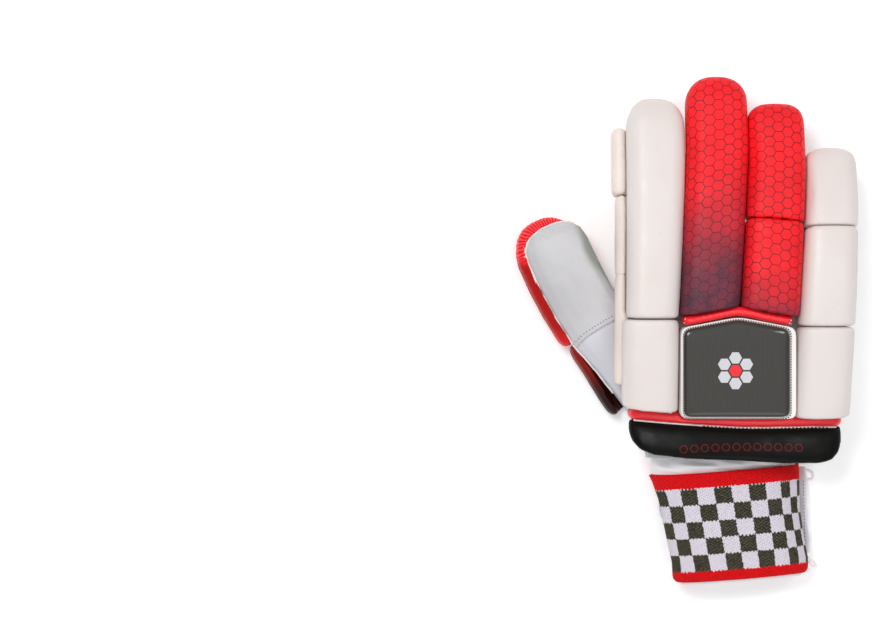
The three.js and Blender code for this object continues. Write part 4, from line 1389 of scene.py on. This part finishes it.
    @staticmethod
    def gathered(place, normal):
        """Small gathers where the foam's leather is drawn round the tip."""
        spot = Vector((place.x, place.y)) / MM - THUMB_TIP
        angle = math.atan2(spot.y, spot.x)
        mask = smoothstep(70, 80, place.y / MM) * smoothstep(6, 14, place.z / MM)
        around = angle * 24 + 2.2 * noise.noise(place * 160) + 0.35 * spot.length
        wave = abs(math.sin(math.pi * around / 3.4)) ** 0.7 - 0.6
        return place + normal * 0.4 * mask * wave * MM


PLATE_START = -20.4
PLATE_HALF = 34.4
PIPING = {"left": 2.9, "right": 4.8, "front": 2.8, "rear": 1.9}


def plate_outline(inset):
    """Corners of the plate's five-sided outline in mm, inside its piping and moved in by an inset."""
    take = {key: value + inset for key, value in PIPING.items()}
    x0, x1 = PLATE_X - PLATE_HALF + take["left"], PLATE_X + PLATE_HALF - take["right"]

    def front(x):
        return PLATE_FRONT - PLATE_SLOPE * abs(x - PLATE_X) - take["front"]

    rear = PLATE_START + take["rear"]
    fore = [Vector((x, front(x))) for x in (x1, PLATE_X, x0)]
    return [Vector((x0, rear)), Vector((x1, rear)), *fore]


def side_distances(point, corners):
    """Distances of a point from the sides of a convex outline, in mm; below nought outside it."""
    distances = []
    for a, b in zip(corners, corners[1:] + corners[:1]):
        along = (b - a).normalized()
        distances.append(along.x * (point.y - a.y) - along.y * (point.x - a.x))
    return distances


def rounded(corners, radius, steps=6):
    """An outline with its corners rounded."""
    points = []
    for before, corner, after in zip(corners[-1:] + corners[:-1], corners, corners[1:] + corners[:1]):
        start = corner + (before - corner).normalized() * radius
        stop = corner + (after - corner).normalized() * radius
        for i in range(steps + 1):
            t = i / steps
            points.append((1 - t) ** 2 * start + 2 * t * (1 - t) * corner + t * t * stop)
    return points


def hexagon_tile(name, across, height, middle):
    """A flat six-sided tile with softened edges, standing half sunk at its middle."""
    bpy.ops.object.select_all(action="DESELECT")
    bpy.ops.mesh.primitive_cylinder_add(vertices=6, radius=across / math.sqrt(3), depth=height)
    tile = bpy.context.object
    tile.name = name
    tile.rotation_euler.z = math.radians(30)
    settle(tile)
    finish_modifier(tile, "BEVEL", width=0.2 * height, segments=2)
    tile.location = middle
    return settle(tile)


@step
class GLOVE_OT_plate(bpy.types.Operator):
    """Makes the knuckle plate with its piping, window, stitches and emblem"""

    bl_idname = "glove.plate"
    bl_label = "Knuckle plate"

    def execute(self, context):
        tones = colours()
        plate = softened("knuckle_plate", "knuckle_plate_foam", 1.6, 4, -0.5)
        shade_smooth(plate)
        dress(plate, bpy.data.materials["cream_leather"], "cream_leather", "knuckle_plate")

        piping = softened("plate_piping", "plate_piping_cord", 0.55, 4)
        move_points(piping, lambda place, normal: place + Vector((normal.x, normal.y, 0)) * -0.6 * MM)
        thin_out(piping, 0.6)
        shade_smooth(piping)
        white = leather("white_piping_leather", tones.piping, tones.cream_shade, roughness=0.45, depth=0.01)
        dress(piping, white, "white_piping", "plate_piping")

        panel = softened("plate_panel", "plate_panel_window", 0.6, 2)
        move_points(panel, lambda place, normal: place + Vector((normal.x, normal.y, 0)) * 0.6 * MM)
        corners = plate_outline(-0.2)
        crown = sizes().window

        def crowned(place, normal):
            share = smoothstep(51.5, 52.8, place.z / MM)
            for inside in side_distances(Vector((place.x, place.y)) / MM, corners):
                share *= 1 - math.exp(-max(inside, 0) / 2.8)
            return place + Vector((0, 0, crown * share))

        move_points(panel, crowned)
        shade_smooth(panel)
        dress(panel, panel_material("windowed_textile", tones.panel), "dark_panel", "plate_panel")

        top = surface(panel, piping)
        line = rounded(plate_outline(-1.05), 4.4)
        places = []
        path = [p.to_3d() * MM for p in line + line[:1]]
        for point, along in lerp_path(path, sizes().stitch_pitch)[:-1]:
            place, _ = drop(top, point.x, point.y)
            places.append((place + Vector((0, 0, 0.1 * MM)), along, Vector((0, 0, 1))))
        sewn = stitches("plate_stitches", places, sizes().stitch, 0.85 * MM)
        dress(sewn, thread_material("dark_thread", tones.dark_thread), "dark_panel")

        top = surface(panel)
        look = {"roughness": 0.4, "depth": 0.006, "coat": 0.15}
        silver = leather("silver_print", tones.silver, tones.palm_shade, **look)
        red = leather("red_print", tones.red, tones.red_line, **look)
        across = sizes().emblem
        middle = Vector((-1.6, 8.5)) * MM
        cells = []
        for i in range(6):
            angle = math.radians(60 * i)
            spot = middle + Vector((math.sin(angle), math.cos(angle))) * (across + 0.9 * MM)
            cells.append(hexagon_tile("emblem_cells", across, 0.3 * MM, drop(top, spot.x, spot.y)[0]))
        dress(join("emblem_cells", cells), silver, "dark_panel")
        core = hexagon_tile("emblem_core", across, 0.3 * MM, drop(top, middle.x, middle.y)[0])
        dress(core, red, "dark_panel")
        return {"FINISHED"}


# Stitches at the ends of the knuckle roll: x and y in mm, and their turn in degrees

ROLL_KNOTS = [(-31.0, 36.6, 70), (-30.6, 38.8, 80), (31.2, 38.0, 120), (30.4, 36.4, 60), (31.8, 36.0, 100)]


def raised_cuff(place, normal):
    """Lifts the little finger's side of the cuff's front edge."""
    share = smoothstep(0, 50, place.x / MM) * smoothstep(-42, -27, place.y / MM)
    return place + Vector((0, 1.6 * share, 0)) * MM


@step
class GLOVE_OT_rolls(bpy.types.Operator):
    """Makes the glossy rolls at the knuckles and the cuff, and the cuff's piping"""

    bl_idname = "glove.rolls"
    bl_label = "Rolls"

    def execute(self, context):
        tones = colours()
        look = {"roughness": 0.34, "depth": 0.012, "coat": 0.4, "dirt": 0.12}
        gloss = leather("roll_leather", tones.roll, tones.red_line, **look)
        for name, slot, material in (
            ("knuckle_roll", "red_roll", gloss),
            ("cuff_roll", "red_roll", gloss),
            ("cuff_piping", "white_piping", bpy.data.materials["white_piping_leather"]),
        ):
            voxel, out = (0.5, -0.35) if name == "cuff_piping" else (0.7, 0.7)
            roll = softened(name, f"{name}_cord", voxel, 3, out)
            if name == "knuckle_roll":
                move_points(roll, lambda place, normal: place + Vector((0, 0, 1.2)) * MM)
            else:
                move_points(roll, raised_cuff)
            shade_smooth(roll)
            dress(roll, material, slot, name)
        self.sew_cuff(surface(bpy.data.objects["cuff_piping_cord"]))
        top = surface(bpy.data.objects["knuckle_roll_cord"])
        places = []
        for x, y, angle in ROLL_KNOTS:
            place, normal = drop(top, x * MM, y * MM)
            if place.z > 30 * MM:
                turn = math.radians(angle)
                along = Vector((math.cos(turn), math.sin(turn), 0))
                places.append((place + normal * 0.1 * MM, along, normal))
        knots = stitches("knuckle_stitches", places, 1.5 * MM, 0.5 * MM)
        dress(knots, bpy.data.materials["light_thread"], "red_roll")
        return {"FINISHED"}

    def sew_cuff(self, top):
        """Dark stitches over the cuff's piping."""
        places, last = [], None
        for i in range(int(112 / 2.3)):
            x = -53 + 2.3 * i
            hits = [drop(top, x * MM, (-29 + 0.2 * j) * MM)[0] for j in range(55)]
            highest = max(hits, key=lambda place: place.z)
            if highest.z > 0:
                place = highest + Vector((0, -0.35, -0.1)) * MM
                if last is not None and x > -20:
                    places.append((place, (place - last).normalized(), Vector((0, -0.3, 1)).normalized()))
                last = place
        sewn = stitches("cuff_stitches", places, 1.4 * MM, 0.8 * MM)
        dress(sewn, bpy.data.materials["dark_thread"], "white_piping")


@step
class GLOVE_OT_flare(bpy.types.Operator):
    """Makes the glossy black flare behind the cuff roll"""

    bl_idname = "glove.flare"
    bl_label = "Cuff flare"

    def execute(self, context):
        flare = softened("cuff_flare", "cuff_flare_foam", 1.3, 3, 0.25)
        move_points(flare, raised_cuff)
        swell(flare, 0.2, 0.6)
        subdivide(flare)
        shade_smooth(flare)
        dress(flare, printed_black("black_leather"), "black_leather", "cuff_flare")
        return {"FINISHED"}


# Wrist: the same rings as the solids have, in mm

WRIST_X = -4.46
WRIST_Y = -45.0
SLEEVE_NECK = 7.2
NECK_LIFT = 2.4
BAND_LENGTH = 65.5
BAND_LEAN = math.radians(9)
BAND_TURN = math.radians(4.6)
WRIST_MIDDLE = 17.1
WRIST_SQUARENESS = 2.3
WRIST_HALF_HEIGHT = 11.7
BAND_WALL = 2.8
MOUTH_DEPTH = 1.6
SLEEVE_RUN = 75.8
OVAL_STEPS = 720
SLEEVE_GRID = (200, 96)
BAND_GRID = (208, 72)


def oval(half_width, half_height, squareness, count):
    """Points evenly spaced around a rounded oval, from its lowest point, and the way round it."""
    fine = []
    for i in range(OVAL_STEPS + 1):
        angle = -math.pi / 2 + 2 * math.pi * i / OVAL_STEPS
        power = 2 / squareness
        x = half_width * math.copysign(abs(math.cos(angle)) ** power, math.cos(angle))
        z = half_height * math.copysign(abs(math.sin(angle)) ** power, math.sin(angle))
        fine.append(Vector((x, z)))
    run = [0.0]
    for a, b in zip(fine, fine[1:]):
        run.append(run[-1] + (b - a).length)
    points, at = [], 0
    for i in range(count):
        goal = run[-1] * i / count
        while run[at + 1] < goal:
            at += 1
        points.append(fine[at].lerp(fine[at + 1], (goal - run[at]) / max(run[at + 1] - run[at], 1e-9)))
    return points, run[-1]


def wrist_ring(distance, grow, count):
    """A ring of the wrist at a distance behind the hand, in mm, and its way round."""
    past = max(distance - SLEEVE_NECK, 0)
    turn = BAND_TURN * clamp(distance / SLEEVE_NECK)
    x = WRIST_X + math.sin(BAND_LEAN) * past
    y = WRIST_Y - min(distance, SLEEVE_NECK) - math.cos(BAND_LEAN) * past
    half_width = mix(89.5, 80.5, past / BAND_LENGTH) / 2 - BAND_WALL + grow
    points, around = oval(half_width, WRIST_HALF_HEIGHT + grow, WRIST_SQUARENESS, count)
    return [
        Vector((x + math.cos(turn) * p.x, y + math.sin(turn) * p.x, WRIST_MIDDLE + p.y)) for p in points
    ], around


def tucked_in(distance, last):
    """How far the wrist's cloth turns in near its rear end, in mm."""
    share = clamp((distance - last + 5) / 5)
    return 2.2 * (1 - math.sqrt(1 - 0.98 * share * share))


def waisted(place, normal):
    """Draws the wrist's sides in and out a little, as the elastic pulls them."""
    x, y, _ = place / MM
    middle = WRIST_X - math.tan(BAND_LEAN) * (y - WRIST_Y + SLEEVE_NECK)
    left = interpolate([(-118, 0.6), (-108, 2.4), (-70, 2.8), (-60, 1.6), (-54, 0)], y)
    right = interpolate([(-118, 1.6), (-105, 2.2), (-90, 0.8), (-75, 0), (-52, 1.6)], y)
    shift = left * smoothstep(22, 42, middle - x) + right * smoothstep(22, 42, x - middle)
    return place + Vector((shift, 0, 0)) * MM


def hand_mouth(count):
    """A ring just inside the hand's open end, in mm, and its way round."""
    points, around = oval(43.4, 10.9, WRIST_SQUARENESS, count)
    return [Vector((WRIST_X + p.x, WRIST_Y + MOUTH_DEPTH, 16.5 + p.y)) for p in points], around


def wrap(obj, rings, count):
    """Wraps a grid into a tube through rings of points, in mm."""
    rows = len(rings)
    for vertex in obj.data.vertices:
        around = round((vertex.co.x + 0.5) * count) % count
        row = round((vertex.co.y + 0.5) * (rows - 1))
        vertex.co = rings[row][around] * MM
    merge(obj)
    return face_out(obj)


@step
class GLOVE_OT_sleeve(bpy.types.Operator):
    """Makes the white cloth sleeve of the wrist"""

    bl_idname = "glove.sleeve"
    bl_label = "Wrist sleeve"

    def execute(self, context):
        count, rows = SLEEVE_GRID
        mouth, around = hand_mouth(count)
        rings = []
        for i in range(rows + 1):
            distance = SLEEVE_RUN * i / rows - MOUTH_DEPTH
            grow = 0.6 * smoothstep(0, 3, distance) - tucked_in(distance, SLEEVE_NECK + BAND_LENGTH)
            ring, _ = wrist_ring(max(distance, SLEEVE_NECK), grow, count)
            if distance < SLEEVE_NECK:
                share = smoothstep(-MOUTH_DEPTH, 3.5, distance)
                ring = [a.lerp(b, share) for a, b in zip(mouth, ring)]
                for point, rear in zip(ring, wrist_ring(SLEEVE_NECK, 0, count)[0]):
                    point.y = mix(WRIST_Y - distance, rear.y, clamp(distance / SLEEVE_NECK))
            rings.append(ring)
        rings.reverse()
        sleeve = grid("wrist_sleeve_cloth", count, rows)
        wrap(sleeve, rings, count)
        fold = sizes().fold

        def folded(place, normal):
            spot = place / MM
            edge = WRIST_Y - SLEEVE_NECK + math.sin(BAND_TURN) * (spot.x - WRIST_X)
            neck = smoothstep(-1.5, 2.5, spot.y - edge) * smoothstep(-43.6, -47, spot.y)
            bent = 9 * noise.noise(Vector((spot.x, spot.y * 2.5, spot.z)) / 23)
            wave = math.sin((spot.x + 2.2 * spot.y + bent) / 3.6) + noise.noise(spot / 5)
            ripple = math.sin((spot.x * 0.35 + 3 * spot.y + bent) / 2.1)
            lift = NECK_LIFT * smoothstep(0, 4.5, spot.y - edge) * smoothstep(18, 26, spot.z)
            return place + normal * fold * neck * (0.45 * wave + 0.35 * ripple) + Vector((0, 0, lift * MM))

        move_points(sleeve, waisted)
        move_points(sleeve, folded)
        finish_modifier(sleeve, "SOLIDIFY", thickness=1.3 * MM, offset=-1)
        shade_smooth(sleeve)
        thread_material("lilac_thread", (0.36, 0.32, 0.42, 1))
        dress(sleeve, woven_cloth("wrist_cloth", colours().cloth), "white_cloth", "wrist_sleeve")
        return {"FINISHED"}


@step
class GLOVE_OT_band(bpy.types.Operator):
    """Makes the checked knit band around the wrist"""

    bl_idname = "glove.band"
    bl_label = "Wrist band"

    def execute(self, context):
        count, rows = BAND_GRID
        rings = []
        for i in range(rows + 1):
            distance = SLEEVE_NECK + BAND_LENGTH * (1 - i / rows)
            grow = BAND_WALL - tucked_in(distance, SLEEVE_NECK + BAND_LENGTH)
            rings.append(wrist_ring(distance, grow, count)[0])
        around = wrist_ring(SLEEVE_NECK + BAND_LENGTH / 2, BAND_WALL, count)[1] * MM
        band = grid("wrist_band_knit", count, rows)
        for corner in band.data.uv_layers[0].data:
            run = corner.uv[0] * around - 3.8 * MM
            run -= 13.6 * MM * smoothstep(around / 4 + 18 * MM, around / 4 - 5 * MM, run)
            corner.uv = (run, corner.uv[1] * BAND_LENGTH * MM)
        wrap(band, rings, count)
        move_points(band, waisted)

        def knitted(place, normal):
            wave = noise.noise(Vector((place.x * 60, place.y * 60, place.z * 60)))
            return place + normal * (0.18 * MM * wave)

        move_points(band, knitted)
        finish_modifier(band, "SOLIDIFY", thickness=1.9 * MM, offset=-1)
        shade_smooth(band)
        dress(band, knit_material("checked_knit", 5), "checked_knit", "wrist_band")
        return {"FINISHED"}


@step
class GLOVE_OT_tab(bpy.types.Operator):
    """Makes the white strip that shows beside the band"""

    bl_idname = "glove.tab"
    bl_label = "Wrist tab"

    def execute(self, context):
        tab = softened("wrist_tab", "wrist_tab_cloth", 0.7, 4)
        move_points(tab, self.turned_up)
        shade_smooth(tab)
        cloth = bpy.data.materials["wrist_cloth"]
        dress(tab, cloth, "white_cloth", "wrist_tab")

        top = surface(tab)
        places = []
        for i in range(22):
            y = -60 - 2.1 * i
            place, normal = drop(top, (46.3 + 0.06 * i) * MM, y * MM)
            if place.z > 0.5 * MM:
                places.append((place + normal * 0.1 * MM, Vector((0.1, -1, 0)).normalized(), normal))
        sewn = stitches("tab_stitches", places, 1.2 * MM, 0.6 * MM)
        dress(sewn, bpy.data.materials["lilac_thread"], "white_cloth")
        curls = []
        for points, radius in ((TAB_HOOK, 0.9), (TAB_CURL, 0.75), (SIDE_CLOTH, 1.2)):
            line = spline([Vector(p) * MM for p in points], 5)
            curls.append(tube("tab_curls", line, radius * MM))
        dress(join("tab_curls", curls), cloth, "white_cloth")
        return {"FINISHED"}

    @staticmethod
    def turned_up(place, normal):
        """Widens the strip beside the band and turns its outer edge up."""
        x, y, z = place / MM
        beyond = smoothstep(34, 48, x)
        wide = interpolate([(-108, 1.0), (-90, 1.8), (-60, 3.6), (-50, 2.5)], y)
        wavy = 0.7 * noise.noise(Vector((y / 9, 2, 1)))
        return Vector((x + beyond * (wide + wavy), y, z + 4.5 * beyond)) * MM


# Loose ends of cloth at the wrist, in mm

TAB_HOOK = [
    (44.5, -52.8, 7),
    (48.5, -53.2, 8),
    (51.4, -54.6, 8),
    (52.4, -57, 7.5),
    (51.2, -59, 7),
    (48.5, -58.6, 6.5),
]
TAB_CURL = [
    (48.5, -105.5, 7),
    (50.6, -107.4, 7.5),
    (52.8, -109.2, 7),
    (54.6, -111.6, 6.5),
    (52.4, -111.4, 6),
    (50, -109, 6),
]
SIDE_CLOTH = [(-41.5, -70.5, 13), (-42.4, -74, 14), (-41.8, -78, 14), (-40, -81, 13)]


class GLOVE_PT_panel(bpy.types.Panel):
    """Lists the glove's sizes, colours and pieces"""

    bl_idname = "GLOVE_PT_panel"
    bl_label = "Batting glove"
    bl_space_type = "VIEW_3D"
    bl_region_type = "UI"
    bl_category = "Glove"

    def draw(self, context):
        for group in (context.scene.glove_sizes, context.scene.glove_colours):
            box = self.layout.box()
            for name in group.__annotations__:
                box.prop(group, name)
        for operator in STEPS:
            self.layout.operator(operator.bl_idname)


CLASSES = [GloveSizes, GloveColours, *STEPS, GLOVE_PT_panel]


def register():
    for cls in CLASSES:
        bpy.utils.register_class(cls)
    bpy.types.Scene.glove_sizes = bpy.props.PointerProperty(type=GloveSizes)
    bpy.types.Scene.glove_colours = bpy.props.PointerProperty(type=GloveColours)


def unregister():
    del bpy.types.Scene.glove_sizes
    del bpy.types.Scene.glove_colours
    for cls in reversed(CLASSES):
        bpy.utils.unregister_class(cls)


def main():
    register()
    for operator in STEPS:
        family, name = operator.bl_idname.split(".")
        getattr(getattr(bpy.ops, family), name)()
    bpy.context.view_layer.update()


if __name__ == "__main__":
    main()
